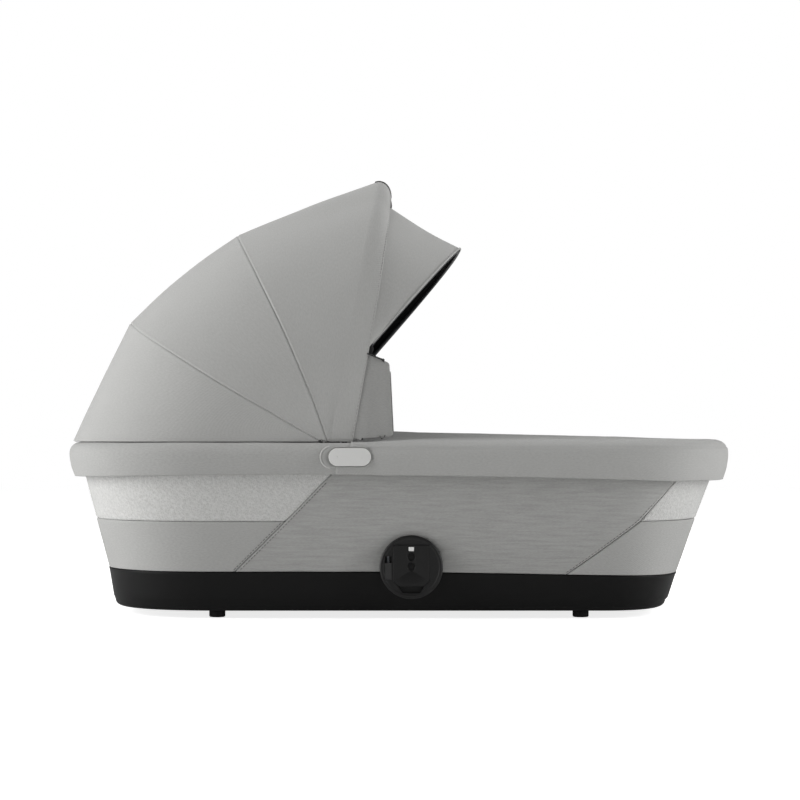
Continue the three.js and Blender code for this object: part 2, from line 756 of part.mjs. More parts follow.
const stayRise = stayTopZ - stayLowZ;
const stayTopX = { head: rimPlan.head - stayTopInset.head, foot: rimPlan.foot - stayTopInset.foot };
const stayTopAt = (end) => end * (end < 0 ? stayTopX.head : stayTopX.foot);
const stayLowAt = (end) => stayTopAt(end) - end * stayRun;
const stayReach = Math.hypot(stayRun, stayRise);
const stayAngle = Math.atan2(stayRise, stayRun);
const stayFoldedAngle = Math.asin(stayFoldedRise / stayReach);
const rimDrop = stayRise - stayFoldedRise;
const bracketPlan = insetPlan(trayPlanAt(bracketLowZ), lining + liningThickness + gap);
const bracketEnds = [-1, 1].map((end) => stayLowAt(end) + end * (bracketBorder + liningRoom));
const bracketOuterY = Math.min(...bracketEnds.map((x) => halfWidthAt(bracketPlan, x)));
const bracketInnerY = bracketOuterY - bracketPlate;
const stayY = bracketInnerY - gap - stayCollarWidth / 2;

// A point of a hoop that leans outward from its lower ends
function stayPoint(end, along, across) {
  const share = along / stayReach;
  return new THREE.Vector3(stayLowAt(end) + end * stayRun * share, across, stayLowZ + stayRise * share);
}

const staySteps = 22;

function stay(end) {
  const half = [];
  for (let i = 0; i <= archSteps; i += 1) {
    const turn = (i / archSteps) * Math.PI / 2;
    half.push(capPoint(stayY, 0, stayReach, turn, stayRoundness));
  }
  const whole = [...half, ...half.slice(0, -1).reverse().map(([along, across]) => [along, -across])];
  const hoop = tubeAlong(whole.map(([along, across]) => stayPoint(end, along, across)), stayRadius, staySteps);
  const collarEnds = [stayY - stayCollarWidth / 2, stayY + stayCollarWidth / 2];
  const ends = sides.map(([, side]) => {
    const collar = rod(stayLowAt(end), stayLowZ, stayCollarRadius, ...collarEnds, 16);
    return onSide(join(collar, rod(stayLowAt(end), stayLowZ, stayPinRadius, stayY, bracketOuterY, 16)), side);
  });
  return join(hoop, ...ends);
}

// Where a pin is when the rim has come down by a share of its drop. The hoop turns evenly with the drop.
function pinSpot(end, share) {
  const angle = mix(stayAngle, stayFoldedAngle, share);
  const pinX = stayTopAt(end) - end * stayReach * Math.cos(angle);
  return [pinX, stayTopZ - rimDrop * share - stayReach * Math.sin(angle)];
}

const slotShares = [0, 0.2, 0.4, 0.6, 0.8, 1];

// The plate's slot is a row of short straight slots from one place of the pin to the next
function stayBracket(end) {
  const spots = slotShares.map((share) => pinSpot(end, share));
  const [firstX] = spots[0];
  const [lastX] = spots[spots.length - 1];
  const [lowX, highX] = [Math.min(firstX, lastX) - bracketBorder, Math.max(firstX, lastX) + bracketBorder];
  const plate = block([lowX, bracketInnerY, bracketLowZ], [highX, bracketOuterY, stayLowZ + bracketBorder]);
  const slots = spots.slice(1).map((spot, i) => {
    const [fromX, fromZ] = spots[i];
    const angle = Math.atan2(spot[1] - fromZ, spot[0] - fromX);
    const length = Math.hypot(spot[0] - fromX, spot[1] - fromZ);
    const width = 2 * (stayPinRadius + pinClearance + gap);
    const shape = stadium(0, 0, length + width, width);
    const straight = slab(shape, bracketInnerY - overrun, bracketOuterY + overrun);
    return straight.rotateY(-angle).translate((fromX + spot[0]) / 2, 0, (fromZ + spot[1]) / 2);
  });
  return cut(plate, ...slots);
}

// The clip's mouth faces down the hoop, which presses the other way while it holds the rim up
function stayClip(end) {
  const hoopX = stayTopAt(end);
  const tubeX = end * (end < 0 ? tubePlan.head : tubePlan.foot);
  const half = clipLength / 2;
  const jaw = rod(hoopX, stayTopZ, stayRadius + clipRoom + clipWall, -half, half);
  const saddle = rod(tubeX, tubeZ, tubeRadius + clipRoom + clipWall, -half, half);
  const arm = polygon([
    [hoopX, stayTopZ], [hoopX, stayTopZ - stayRadius - clipWall], [tubeX, tubeZ - tubeRadius],
    [tubeX, tubeZ], [hoopX + end * (stayRadius + clipWall), stayTopZ + stayRadius],
  ]);
  const reach = overrun;
  const facing = -stayAngle;
  const open = radians(clipMouthHalfAngle);
  const corner = (angle) => [hoopX - end * reach * Math.cos(angle), stayTopZ + reach * Math.sin(angle)];
  const mouth = polygon([[hoopX, stayTopZ], corner(facing - open), corner(facing), corner(facing + open)]);
  const behind = block(
    [Math.min(tubeX, tubeX + end * overrun), -clipLength, tubeZ - overrun],
    [Math.max(tubeX, tubeX + end * overrun), clipLength, tubeZ + overrun],
  );
  const above = block([-overrun + tubeX, -clipLength, tubeZ], [tubeX + overrun, clipLength, tubeZ + overrun]);
  return cut(
    join(jaw, cut(saddle, above), slab(arm, -half, half)),
    rod(hoopX, stayTopZ, stayRadius + clipRoom, -clipLength, clipLength),
    rod(tubeX, tubeZ, tubeRadius + clipRoom, -clipLength, clipLength),
    slab(mouth, -clipLength, clipLength),
    behind,
  );
}

for (const [name, end] of [['head', -1], ['foot', 1]]) {
  addPiece(`stay_${name}`, stay(end), colours.steel, 0.3, 0.9);
  const bracket = stayBracket(end);
  for (const [sideName, side] of sides) {
    addPiece(`stay_bracket_${name}_${sideName}`, onSide(bracket, side), colours.steel, 0.4, 0.8);
  }
  addPiece(`stay_clip_${name}`, stayClip(end), colours.softBlack, 0.6);
}

// The band is cut out where the hub, the bezel and the clips pass through it
function bandCutters() {
  const cutters = [];
  for (const [, side] of sides) {
    const neck = block(
      [hubRearX - gap, cheekInnerY - overrun, hubLowZ - gap],
      [hubFrontX + gap, tubeY, hubTopZ + gap],
    );
    const frame = stadium(bezelX, buttonZ, bezelLength + 2 * gap, bezelHeight + 2 * gap);
    cutters.push(onSide(neck, side), onSide(slab(frame, hubOuterY + gap, buttonFaceY + overrun), side));
  }
  for (const end of [-1, 1]) {
    const tubeX = end < 0 ? -tubePlan.head : tubePlan.foot;
    const hoopX = stayTopAt(end);
    cutters.push(block(
      [Math.min(tubeX, hoopX), -clipLength / 2 - gap, tubeZ - tubeRadius - clipWall - 2 * gap],
      [Math.max(tubeX, hoopX), clipLength / 2 + gap, tubeZ + tubeRadius],
    ));
  }
  return cutters;
}
addPiece('rim_band', rimBand(bandCutters()), colours.fabric);

// Canopy lines: arches that stand in planes through the hinge axis

const canopyHalfWidth = rimPlan.halfWidth - canopyInset;
const baseLine = { ...rimLine, reach: rimPlan.head + hingeX - rimLine.inset };

// Points of an arch from its +Y foot over the top to its -Y foot. hem moves it forward.
function arch(line, { inset = 0, start = 0, hem = [0, 0], halfWidth = canopyHalfWidth } = {}) {
  const width = halfWidth - inset;
  const reach = line.reach - inset;
  const half = [];
  for (let i = 0; i < legSteps; i += 1) half.push([mix(start, line.leg, i / legSteps), width]);
  for (let i = 0; i <= archSteps; i += 1) {
    half.push(capPoint(width, line.leg, reach, (i / archSteps) * Math.PI / 2, canopyRoundness));
  }
  const whole = [...half, ...half.slice(0, -1).reverse().map(([along, across]) => [along, -across])];
  const [cos, sin] = [Math.cos(radians(line.angle)), Math.sin(radians(line.angle))];
  return whole.map(([along, across]) => {
    const lean = line.bend * Math.sin(Math.PI * clamp(along / reach));
    const ahead = lean + mix(hem[1], hem[0], Math.abs(across) / width);
    return new THREE.Vector3(
      hingeX + along * cos + ahead * sin, across, hingeZ + line.lift + along * sin - ahead * cos,
    );
  });
}

// Where a leg of an arch passes a height
function alongAt(line, height, hem = 0) {
  const angle = radians(line.angle);
  return (height - hingeZ - line.lift + hem * Math.cos(angle)) / Math.sin(angle);
}

const legStart = {
  rim: knuckleRadius / 2,
  rear: alongAt(rearLine, canopyBaseZ),
  middle: alongAt(middleLine, canopyBaseZ),
  front: alongAt(frontLine, canopyBaseZ),
};

// Rows of points stretched between two arches. swell gives how far a row stands out at the top.
function stretched(first, second, places, swell) {
  return places.map((place) => first.map((point, i) => {
    const spot = point.clone().lerp(second[i], place);
    const radial = new THREE.Vector3(spot.x - hingeX, 0, spot.z - hingeZ).normalize();
    return spot.addScaledVector(radial, swell(place, Math.abs(spot.y)));
  }));
}

const archCrown = (y) => Math.max(0, 1 - (y / canopyHalfWidth) ** 2);
const seamShare = 0.004;         // a panel stops this share short of the seam at each bow
const panelPlaces = [seamShare, 0.2, 0.5, 0.8, 1 - seamShare];

function rearPanel(inset) {
  const rim = arch(baseLine, { inset, start: legStart.rim });
  const rear = arch(rearLine, { inset, start: legStart.rear });
  return stretched(rim, rear, panelPlaces, (place, y) => rearPanelBulge * Math.sin(Math.PI * place) * archCrown(y));
}

function middlePanel(inset) {
  const rear = arch(rearLine, { inset, start: legStart.rear });
  const middle = arch(middleLine, { inset, start: legStart.middle });
  return stretched(rear, middle, panelPlaces, (place, y) => (
    middlePanelBulge * Math.sin(Math.PI * place) * archCrown(y)));
}

const lipRadius = handleRadius + handleRoom + clothThickness;
const frontBowReach = frontLine.reach - lipRadius;
const lipShares = [0, 0.33, 0.67, 1];

// The fabric's rows that turn down round the handle and end in the front hem
function lipRows(inset, turnShares) {
  return turnShares.map((share) => {
    const turn = radians(lipTurn * share);
    const out = lipRadius - inset;
    const low = frontHemLow * Math.max(0, share);
    const line = { ...frontLine, reach: frontBowReach + out * Math.cos(turn) + inset };
    return arch(line, { inset, start: alongAt(frontLine, canopyBaseZ, low), hem: [low, out * Math.sin(turn)] });
  });
}

function frontPanel(inset) {
  const middle = arch(middleLine, { inset, start: legStart.middle });
  const [front] = lipRows(inset, [lipStartShare]);
  const behind = stretched(middle, front, [...panelPlaces.slice(0, -1), 1], (place, y) => (
    frontPanelBulge * Math.sin(Math.PI * place) * archCrown(y)));
  return [...behind, ...lipRows(inset, lipShares)];
}

addPiece('canopy_panel_rear', shell(rearPanel(0), rearPanel(clothThickness)), colours.fabric);
addPiece('canopy_panel_middle', shell(middlePanel(0), middlePanel(clothThickness)), colours.fabric);
addPiece('canopy_panel_front', shell(frontPanel(0), frontPanel(clothThickness)), colours.fabric);

// Bows: round rods inside the fabric, each ending in two knuckles on the hinge axis

const bowInset = clothThickness + bowRoom + bowRadius;
const bowSteps = 22;

function bowPath(line, y, reach) {
  return arch({ ...line, reach, bend: 0 }, { start: (knuckleHole + knuckleRadius) / 2, halfWidth: y });
}

function bow(line, y, reach, ...thicker) {
  const rodShape = join(tubeAlong(bowPath(line, y, reach), bowRadius, bowSteps), ...thicker);
  const knuckles = sides.map(([, side]) => (
    onSide(rod(hingeX, hingeZ, knuckleRadius, y - knuckleWidth / 2, y + knuckleWidth / 2, 16), side)));
  const hole = rod(hingeX, hingeZ, knuckleHole, -y - overrun, y + overrun, 16);
  return cut(join(rodShape, ...knuckles), hole);
}

addPiece('bow_rear', bow(rearLine, rearBowY, rearLine.reach - bowInset), colours.steel, 0.35, 0.8);
addPiece('bow_middle', bow(middleLine, middleBowY, middleLine.reach - bowInset), colours.steel, 0.35, 0.8);

// The front bow's top is moulded thicker, as the core of the carry handle
function handleCore() {
  const fine = new THREE.CatmullRomCurve3(bowPath(frontLine, frontBowY, frontBowReach)).getPoints(bowSteps * 4);
  return tubeAlong(fine.filter((point) => Math.abs(point.y) < handleCoreHalfLength), handleRadius, archSteps * 2);
}

addPiece('bow_front', bow(frontLine, frontBowY, frontBowReach, handleCore()), colours.softBlack, 0.5);

// Leather wrap over the fabric on the carry handle

// The wrap's turns round the handle, as shares of the fabric's own turn, from just behind it to its front
const gripShares = [-0.3, 0, 0.33, 0.67, 1];

function handleGrip() {
  const rows = (inset) => lipRows(inset, gripShares).map((row) => row.filter(({ y }) => Math.abs(y) < gripHalfLength));
  return shell(rows(-gap - gripThickness), rows(-gap));
}

addPiece('handle_grip', handleGrip(), colours.leather, 0.6);

// Wings: flat panels in front of the front bow, tucked inside the canopy's hem

const wingOuterY = canopyHalfWidth - clothThickness - gap;

function hemXAt(height) {
  const angle = radians(frontLine.angle);
  const along = alongAt(frontLine, height, frontHemLow);
  return hingeX + along * Math.cos(angle) + frontHemLow * Math.sin(angle);
}

function wing(side) {
  const outline = polygon([
    [hemXAt(wingBaseZ) - wingTuck, wingBaseZ], [wingFrontX, wingBaseZ],
    [wingFrontX - wingCorner / 2, wingTopZ - wingCorner], [wingFrontX - wingCorner, wingTopZ - wingCorner / 4],
    [hemXAt(wingTopZ) - wingTuck, wingTopZ + wingCorner],
  ]);
  return onSide(slab(outline, wingOuterY - wingThickness, wingOuterY), side);
}

for (const [name, side] of sides) addPiece(`canopy_wing_${name}`, wing(side), colours.fabric);

// Visor: a thin bow hinged on two brackets of the front bow, with fabric back to the canopy's hem

const bracketY = frontBowY;
const visorBossInnerY = bracketY + bracketThickness / 2 + gap;
const visorBowY = visorBossInnerY + visorBossWidth / 2;
const visorPinEndY = visorBossInnerY + visorBossWidth + gap;

function onFrontBow(along, ahead) {
  const angle = radians(frontLine.angle);
  return [
    hingeX + along * Math.cos(angle) + ahead * Math.sin(angle),
    hingeZ + along * Math.sin(angle) - ahead * Math.cos(angle),
  ];
}

function visorBracket(side) {
  const along = alongAt(frontLine, visorHingeZ);
  const wide = bowRadius + gap + bracketThickness;
  const outline = polygon([
    onFrontBow(along - wide, -wide), onFrontBow(along - wide, wide),
    [visorHingeX, visorHingeZ - visorBossRadius], [visorHingeX + visorBossRadius / 2, visorHingeZ],
    [visorHingeX, visorHingeZ + visorBossRadius], onFrontBow(along + wide, wide), onFrontBow(along + wide, -wide),
  ]);
  const collarHalf = wide;
  const collar = slab(polygon([
    onFrontBow(along - wide, -wide), onFrontBow(along - wide, wide),
    onFrontBow(along + wide, wide), onFrontBow(along + wide, -wide),
  ]), bracketY - collarHalf, bracketY + bracketThickness / 2);
  const plate = slab(outline, bracketY - bracketThickness / 2, bracketY + bracketThickness / 2);
  const shank = rod(visorHingeX, visorHingeZ, visorPinRadius, bracketY, visorPinEndY + bracketThickness / 2, 12);
  const head = rod(visorHingeX, visorHingeZ, 2 * visorPinRadius, visorPinEndY, visorPinEndY + bracketThickness / 2, 12);
  const bowRoomCut = tubeAlong(bowPath(frontLine, frontBowY, frontBowReach), bowRadius + gap, bowSteps);
  const body = cut(join(collar, plate), bowRoomCut);
  return onSide(join(body, shank, head), side);
}

// The visor's own arch, about its own hinge
function visorArch(width, reach, start) {
  const [cos, sin] = [Math.cos(radians(visorLine.angle)), Math.sin(radians(visorLine.angle))];
  const half = [[start, width]];
  for (let i = 0; i <= archSteps; i += 1) {
    half.push(capPoint(width, visorLine.leg, reach, (i / archSteps) * Math.PI / 2, visorRoundness));
  }
  const whole = [...half, ...half.slice(0, -1).reverse().map(([along, across]) => [along, -across])];
  return whole.map(([along, across]) => (
    new THREE.Vector3(visorHingeX + along * cos, across, visorHingeZ + along * sin)));
}

const visorSkin = visorBowRadius + visorRoom + visorThickness;

function visorBow() {
  const path = visorArch(visorBowY, visorLine.reach - visorSkin, visorBossRadius - visorPinRadius);
  const rodShape = tubeAlong(path, visorBowRadius, bowSteps);
  const bosses = sides.map(([, side]) => onSide(
    rod(visorHingeX, visorHingeZ, visorBossRadius, visorBossInnerY, visorBossInnerY + visorBossWidth, 16), side));
  const hole = rod(visorHingeX, visorHingeZ, visorPinRadius + gap, -visorPinEndY - overrun, visorPinEndY + overrun, 12);
  return cut(join(rodShape, ...bosses), hole);
}

// Where the visor's fabric starts, just under the canopy's front hem
function visorRoot(inset) {
  const line = { ...frontLine, reach: frontBowReach - handleRadius * visorRootShare };
  const hem = [frontHemLow - visorTuck, handleRadius - gap];
  const start = frontLine.leg - visorBossRadius;
  const whole = arch(line, { inset: clothThickness + gap + inset, start, hem });
  const skipped = legSteps - 1;
  return whole.filter((point, i) => i === 0 || i === whole.length - 1 || (i > skipped && i < whole.length - 1 - skipped));
}

function visorFabric() {
  const places = [0, 0.33, 0.67, 1];
  const rows = (inset) => {
    const root = visorRoot(inset);
    const edge = visorArch(visorBowY + visorSkin - inset, visorLine.reach - inset, visorBossRadius + visorPinRadius);
    return places.map((place) => root.map((point, i) => point.clone().lerp(edge[i], place)));
  };
  return shell(rows(0), rows(visorThickness));
}

for (const [name, side] of sides) addPiece(`visor_bracket_${name}`, visorBracket(side), colours.softBlack, 0.5);
addPiece('visor_bow', visorBow(), colours.steel, 0.35, 0.8);
addPiece('visor_fabric', visorFabric(), colours.fabric);

// Apron: a cloth over the foot half, with a skirt that hangs outside the rim band

const apronTop = apronSkirtGap + apronThickness;
const skirtRows = 6;             // rows of the band's section that the skirt follows
const domeShares = [0.8, 0.55, 0.28, 0];

function apronRows(inset) {
  const run = (plan, heightAt, share) => endRun(plan, 'foot', apronFrontX, heightAt, share);
  const section = movedIn(bandSection(), inset - apronTop).slice(0, skirtRows);
  const [topAcross] = bandShares[skirtRows - 1];
  const plan = insetPlan(rimPlan, topAcross * bandDepth);
  const edgeZ = bandTopZ + apronTop;
  const crownAt = (x) => mix(apronCrownZ, apronFootZ, clamp((x - apronFrontX) / (rimPlan.foot - apronFrontX)));
  const dome = domeShares.map((share) => (
    run(plan, (x) => mix(crownAt(x), edgeZ, share ** 2) - inset, share)));
  return [...bandRows(section, run), ...dome];
}

addPiece('apron', shell(apronRows(0), apronRows(apronThickness), { openLast: true }), colours.fabric);

// Receivers: round housings on the tub's sides that take the chassis adapter from below

const seatY = receiverFaceY - plateRecess;
const socketBackY = receiverFaceY - socketDepth;
const latchBackY = receiverFaceY - latchDepth;
const plateBackY = seatY + gap;
const plateFaceY = plateBackY + plateThickness;
const latchFaceY = receiverFaceY - latchProud;
const latchTopZ = latchLowZ + latchHeight;
const slotTopZ = latchTopZ + latchSpringRoom + gap;

// An outline in the YZ plane, extruded along X from x0 to x1
function prism(points, x0, x1) {
  const shape = new THREE.Shape(points.map(([y, z]) => new THREE.Vector2(y, z)));
  const body = new THREE.ExtrudeGeometry(shape, { depth: x1 - x0, bevelEnabled: false });
  const [alongX, alongY, alongZ] = [[1, 0, 0], [0, 1, 0], [0, 0, 1]].map((axis) => new THREE.Vector3(...axis));
  return tidy(body.applyMatrix4(new THREE.Matrix4().makeBasis(alongY, alongZ, alongX)).translate(x0, 0, 0));
}

function plateOutline(grow) {
  const [left, right] = [receiverX - plateWidth / 2 - grow, receiverX + plateWidth / 2 + grow];
  const [low, top] = [plateLowZ - grow, plateTopZ + grow];
  return polygon([
    [left, low + plateChamfer], [left + plateChamfer, low], [right - plateChamfer, low],
    [right, low + plateChamfer], [right, top], [left, top],
  ]);
}

// Channel, mouth, latch slot and holes that are cut out of the housing
function receiverCutters() {
  const half = socketWidth / 2;
  const channel = block([receiverX - half, socketBackY, receiverZ - receiverRadius - overrun],
    [receiverX + half, seatY + gap, socketTopZ]);
  const mouthLowZ = plateLowZ - mouthHeight;
  const mouth = polygon([
    [receiverX - mouthWidth / 2, plateLowZ], [receiverX - mouthWidth / 2 + plateChamfer, mouthLowZ],
    [receiverX + mouthWidth / 2 - plateChamfer, mouthLowZ], [receiverX + mouthWidth / 2, plateLowZ],
  ]);
  const slotHalf = latchWidth / 2 + gap;
  const slot = block([latchX - slotHalf, latchBackY - gap, latchLowZ - gap],
    [latchX + slotHalf, receiverFaceY + overrun, slotTopZ]);
  const nose = block([latchX, latchBackY, noseLowZ - gap],
    [receiverX - half + gap, seatY - gap, noseLowZ + latchNoseHeight + latchTravel + gap]);
  const holes = [studTopZ, studLowZ].map((z) => (
    rod(receiverX, z, studRadius + gap, receiverBackY - overrun, receiverFaceY, 12)));
  const seat = slab(plateOutline(gap), seatY, receiverFaceY + overrun);
  return [channel, slab(mouth, socketBackY, receiverFaceY + overrun), slot, nose, seat, ...holes];
}

function receiver(side) {
  const housing = turned(receiverX, receiverZ, [
    [0, receiverBackY], [receiverBackRadius, receiverBackY], [receiverRadius, receiverFaceY - receiverRimDepth],
    [receiverRadius, receiverFaceY - receiverEase], [receiverRadius - receiverEase, receiverFaceY],
    [0, receiverFaceY],
  ], receiverSides);
  const bossFaceY = receiverFaceY - receiverRimDepth;
  const boss = prism([
    [trayPlanAt(bossLowZ).halfWidth + gap, bossLowZ], [bossFaceY, bossLowZ],
    [bossFaceY, bossTopZ], [trayPlanAt(bossTopZ).halfWidth + gap, bossTopZ],
  ], receiverX - bossHalfWidth, receiverX + bossHalfWidth);
  return onSide(cut(join(housing, boss), ...receiverCutters()), side);
}

function receiverPlate(side) {
  const plate = slab(plateOutline(0), plateBackY, plateFaceY);
  const holes = [studTopZ, studLowZ].map((z) => (
    rod(receiverX, z, studSinkRadius, plateBackY - gap, plateFaceY + gap, 16)));
  const [halfWide, halfHigh] = [windowWidth / 2, windowHeight / 2];
  const window = block([receiverX - halfWide, plateBackY - gap, windowZ - halfHigh],
    [receiverX + halfWide, plateFaceY + gap, windowZ + halfHigh]);
  return onSide(cut(plate, window, ...holes), side);
}

// A steel strap behind the housing, with two studs that are riveted over in front
function receiverBackplate(side) {
  const strapY = receiverBackY - gap;
  const strap = block([receiverX - strapWidth / 2, strapY - strapThickness, studLowZ - strapWidth / 3],
    [receiverX + strapWidth / 2, strapY, studTopZ + strapWidth / 3]);
  const studs = [studTopZ, studLowZ].map((z) => turned(receiverX, z, [
    [0, strapY - strapThickness / 2], [studRadius, strapY - strapThickness / 2],
    [studRadius, plateBackY], [studHeadRadius, plateBackY],
    [studHeadRadius, plateBackY + studRadius], [0, plateBackY + studRadius],
  ], 12));
  return onSide(join(strap, ...studs), side);
}

function lockWindow(side) {
  const [halfWide, halfHigh] = [windowWidth / 2 - gap, windowHeight / 2 - gap];
  return onSide(block([receiverX - halfWide, plateBackY, windowZ - halfHigh],
    [receiverX + halfWide, plateFaceY + gap, windowZ + halfHigh]), side);
}

function latch(side) {
  const half = latchWidth / 2;
  const body = block([latchX - half, latchBackY, latchLowZ], [latchX + half, latchFaceY, latchTopZ]);
  const nose = block([latchX, latchBackY + gap, noseLowZ],
    [latchX + half + latchNose, latchBackY + gap + latchNoseDepth, noseLowZ + latchNoseHeight]);
  return onSide(join(body, nose), side);
}

function latchSpring(side) {
  const sleeve = springSleeve(0, 0, latchSpringRadius, latchTopZ + gap, slotTopZ - gap);
  const y = (latchBackY + latchFaceY) / 2;
  return onSide(sleeve.rotateX(Math.PI / 2).translate(latchX, y, 0), side);
}

for (const [name, side] of sides) {
  addPiece(`receiver_${name}`, receiver(side), colours.black, 0.5);
  addPiece(`receiver_plate_${name}`, receiverPlate(side), colours.softBlack, 0.55);
  addPiece(`receiver_backplate_${name}`, receiverBackplate(side), colours.steel, 0.35, 0.8);
  addPiece(`lock_window_${name}`, lockWindow(side), colours.window, 0.4);
  addPiece(`latch_${name}`, latch(side), colours.softBlack, 0.5);
  addPiece(`latch_spring_${name}`, latchSpring(side), colours.steel, 0.3, 0.9);
}

export default carrycot;
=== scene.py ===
import bmesh
import bpy
import numpy as np
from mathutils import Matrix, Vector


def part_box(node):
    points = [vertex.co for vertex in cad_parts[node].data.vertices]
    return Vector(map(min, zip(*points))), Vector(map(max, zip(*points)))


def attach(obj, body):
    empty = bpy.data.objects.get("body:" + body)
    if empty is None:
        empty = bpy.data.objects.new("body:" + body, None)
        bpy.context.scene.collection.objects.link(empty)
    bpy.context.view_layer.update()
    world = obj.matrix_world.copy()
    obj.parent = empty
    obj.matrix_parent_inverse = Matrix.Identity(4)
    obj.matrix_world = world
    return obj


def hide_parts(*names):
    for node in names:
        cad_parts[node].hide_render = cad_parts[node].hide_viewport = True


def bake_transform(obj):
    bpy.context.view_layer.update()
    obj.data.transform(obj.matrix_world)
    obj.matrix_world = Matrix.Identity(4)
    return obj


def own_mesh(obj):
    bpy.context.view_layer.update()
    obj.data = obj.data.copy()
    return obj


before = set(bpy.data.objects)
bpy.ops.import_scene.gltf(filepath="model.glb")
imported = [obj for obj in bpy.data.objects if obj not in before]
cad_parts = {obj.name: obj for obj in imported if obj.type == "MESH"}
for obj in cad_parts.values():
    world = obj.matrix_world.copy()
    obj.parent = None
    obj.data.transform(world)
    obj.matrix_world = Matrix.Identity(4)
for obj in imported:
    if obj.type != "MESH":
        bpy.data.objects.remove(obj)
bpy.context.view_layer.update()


# Base tray: the tub's bottom with its low, outward-leaning wall, in one black shell.
# Injection-moulded polypropylene with a fine spark-eroded grain and a rounded edge under the wall.

# A plan is five lengths: the reach of the head and of the foot, half the width, and each rounded end.
tray_floor = np.array([364, 341, 160, 150, 92.0])
tray_top = np.array([372, 355, 172, 158, 102.0])
tray_low, tray_high, tray_fall, tray_wall = 9.3, 58.3, 6.0, 3.0
floor_edge = 7.0
end_power = 2.5                                      # 2 is an ellipse, more is squarer
sides = (("left", 1), ("right", -1))


def even(path, count):
    """Points spread evenly along a path, by its length."""
    length = np.concatenate([[0], np.cumsum(np.linalg.norm(np.diff(path, axis=0), axis=1))])
    place = np.linspace(0, length[-1], count)
    return np.stack([np.interp(place, length, axis) for axis in path.T], 1)


def quarter(reach, across, power, count=160):
    """A quarter of |a|**power + |b|**power = 1 from the side (0, across) to the tip (reach, 0)."""
    turn = np.linspace(0, np.pi / 2, count)
    return np.stack([reach * np.sin(turn), across * np.cos(turn)], 1) ** (2 / power) * np.array(
        [reach, across]) ** (1 - 2 / power)


def oval(plan, columns=280):
    """A plan's outline as an evenly spaced ring: the foot's tip, +Y side, the head's tip, -Y side."""
    head, foot, half, head_cap, foot_cap = np.maximum(plan, 1e-6)
    foot_end = quarter(foot_cap, half, end_power)[::-1] + [foot - foot_cap, 0]
    head_end = quarter(head_cap, half, end_power) * [-1, 1] - [head - head_cap, 0]
    side = np.concatenate([foot_end, head_end])
    return even(np.concatenate([side, side[::-1] * [1, -1]]), columns + 1)[:-1]


def drawn_in(plan, share):
    """The plan with its width and its rounded ends scaled by a share, down to a line along the middle."""
    head, foot, half, head_cap, foot_cap = plan
    legs = np.array([head - head_cap, foot - foot_cap, 0, 0, 0])
    return legs + share * np.array([head_cap, foot_cap, half, head_cap, foot_cap])


def normals(points):
    """Unit normals of a grid: the cross product of the steps along its rows and down its columns."""
    cross = np.cross(np.gradient(points, axis=1), np.gradient(points, axis=0))
    return cross / np.maximum(np.linalg.norm(cross, axis=2, keepdims=True), 1e-9)


def measured(points, axis):
    """Lengths from a grid's first edge, along its rows with axis 1 or down its columns with axis 0."""
    steps = np.linalg.norm(np.diff(points, axis=axis), axis=2)
    return np.pad(np.cumsum(steps, axis), ((0, 0), (1, 0)) if axis else ((1, 0), (0, 0)))


def skin(name, points, finishes, wrap=False, closed=False, holes=None, thick=0):
    """A mesh through a grid of points in millimetres. Its UV map gives metres along the rows and down the
    columns from the grid's middle. thick adds a wall inward, with the second finish on its inside."""
    rows, columns = points.shape[:2]
    row, column = (part.ravel() for part in np.mgrid[: rows - 1, : columns if wrap else columns - 1])
    keep = np.full(row.size, True) if holes is None else ~holes[row, column]
    row, column = row[keep], column[keep]
    row4 = np.stack([row, row, row + 1, row + 1], 1)
    column4 = np.stack([column, column + 1, column + 1, column], 1)
    ring = np.concatenate([points, points[:, :1]], 1) if wrap else points
    along, down = measured(ring, 1), measured(ring, 0)
    along, down = along - along[:, -1:] / 2, down - down[-1:] / 2
    mesh = bpy.data.meshes.new(name)
    mesh.from_pydata(points.reshape(-1, 3) / 1000, [], row4 * columns + column4 % columns)
    cloth = np.stack([along, down], 2)[row4, column4] / 1000
    mesh.uv_layers.new(name="cloth").data.foreach_set("uv", cloth.reshape(-1))
    work = bmesh.new()
    work.from_mesh(mesh)
    bmesh.ops.remove_doubles(work, verts=work.verts, dist=2e-6)
    if closed:
        bmesh.ops.recalc_face_normals(work, faces=work.faces)
    work.verts.ensure_lookup_table()
    loose = [vertex for vertex in work.verts if not vertex.link_faces]
    bmesh.ops.delete(work, geom=loose, context="VERTS")
    work.to_mesh(mesh)
    work.free()
    mesh.shade_smooth()
    piece = bpy.data.objects.new(name, mesh)
    bpy.context.scene.collection.objects.link(piece)
    for finish in finishes:
        mesh.materials.append(finish)
    if thick:
        wall = piece.modifiers.new("wall", "SOLIDIFY")
        wall.thickness, wall.offset = thick / 1000, -1
        wall.material_offset = len(finishes) - 1
    return piece


def fitted(piece, body, slot_name, *nodes):
    """Lets a piece ride on its body and hides the solids that it stands for; slot_name is not used."""
    if body:
        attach(piece, body)
    if nodes:
        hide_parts(*nodes)
    return piece


def solid(name, points, finish, body, slot_name, *nodes):
    """A closed skin of one finish, fitted to its body."""
    return fitted(skin(name, points, [finish], wrap=True, closed=True), body, slot_name, *nodes)


def linear(code):
    """An sRGB #rrggbb as linear red, green, blue and 1: s / 12.92 up to 0.04045, and above that
    ((s + 0.055) / 1.055)**2.4."""
    share = np.array([int(code[i:i + 2], 16) for i in (1, 3, 5)]) / 255
    return (*np.where(share <= 0.04045, share / 12.92, ((share + 0.055) / 1.055) ** 2.4), 1.0)


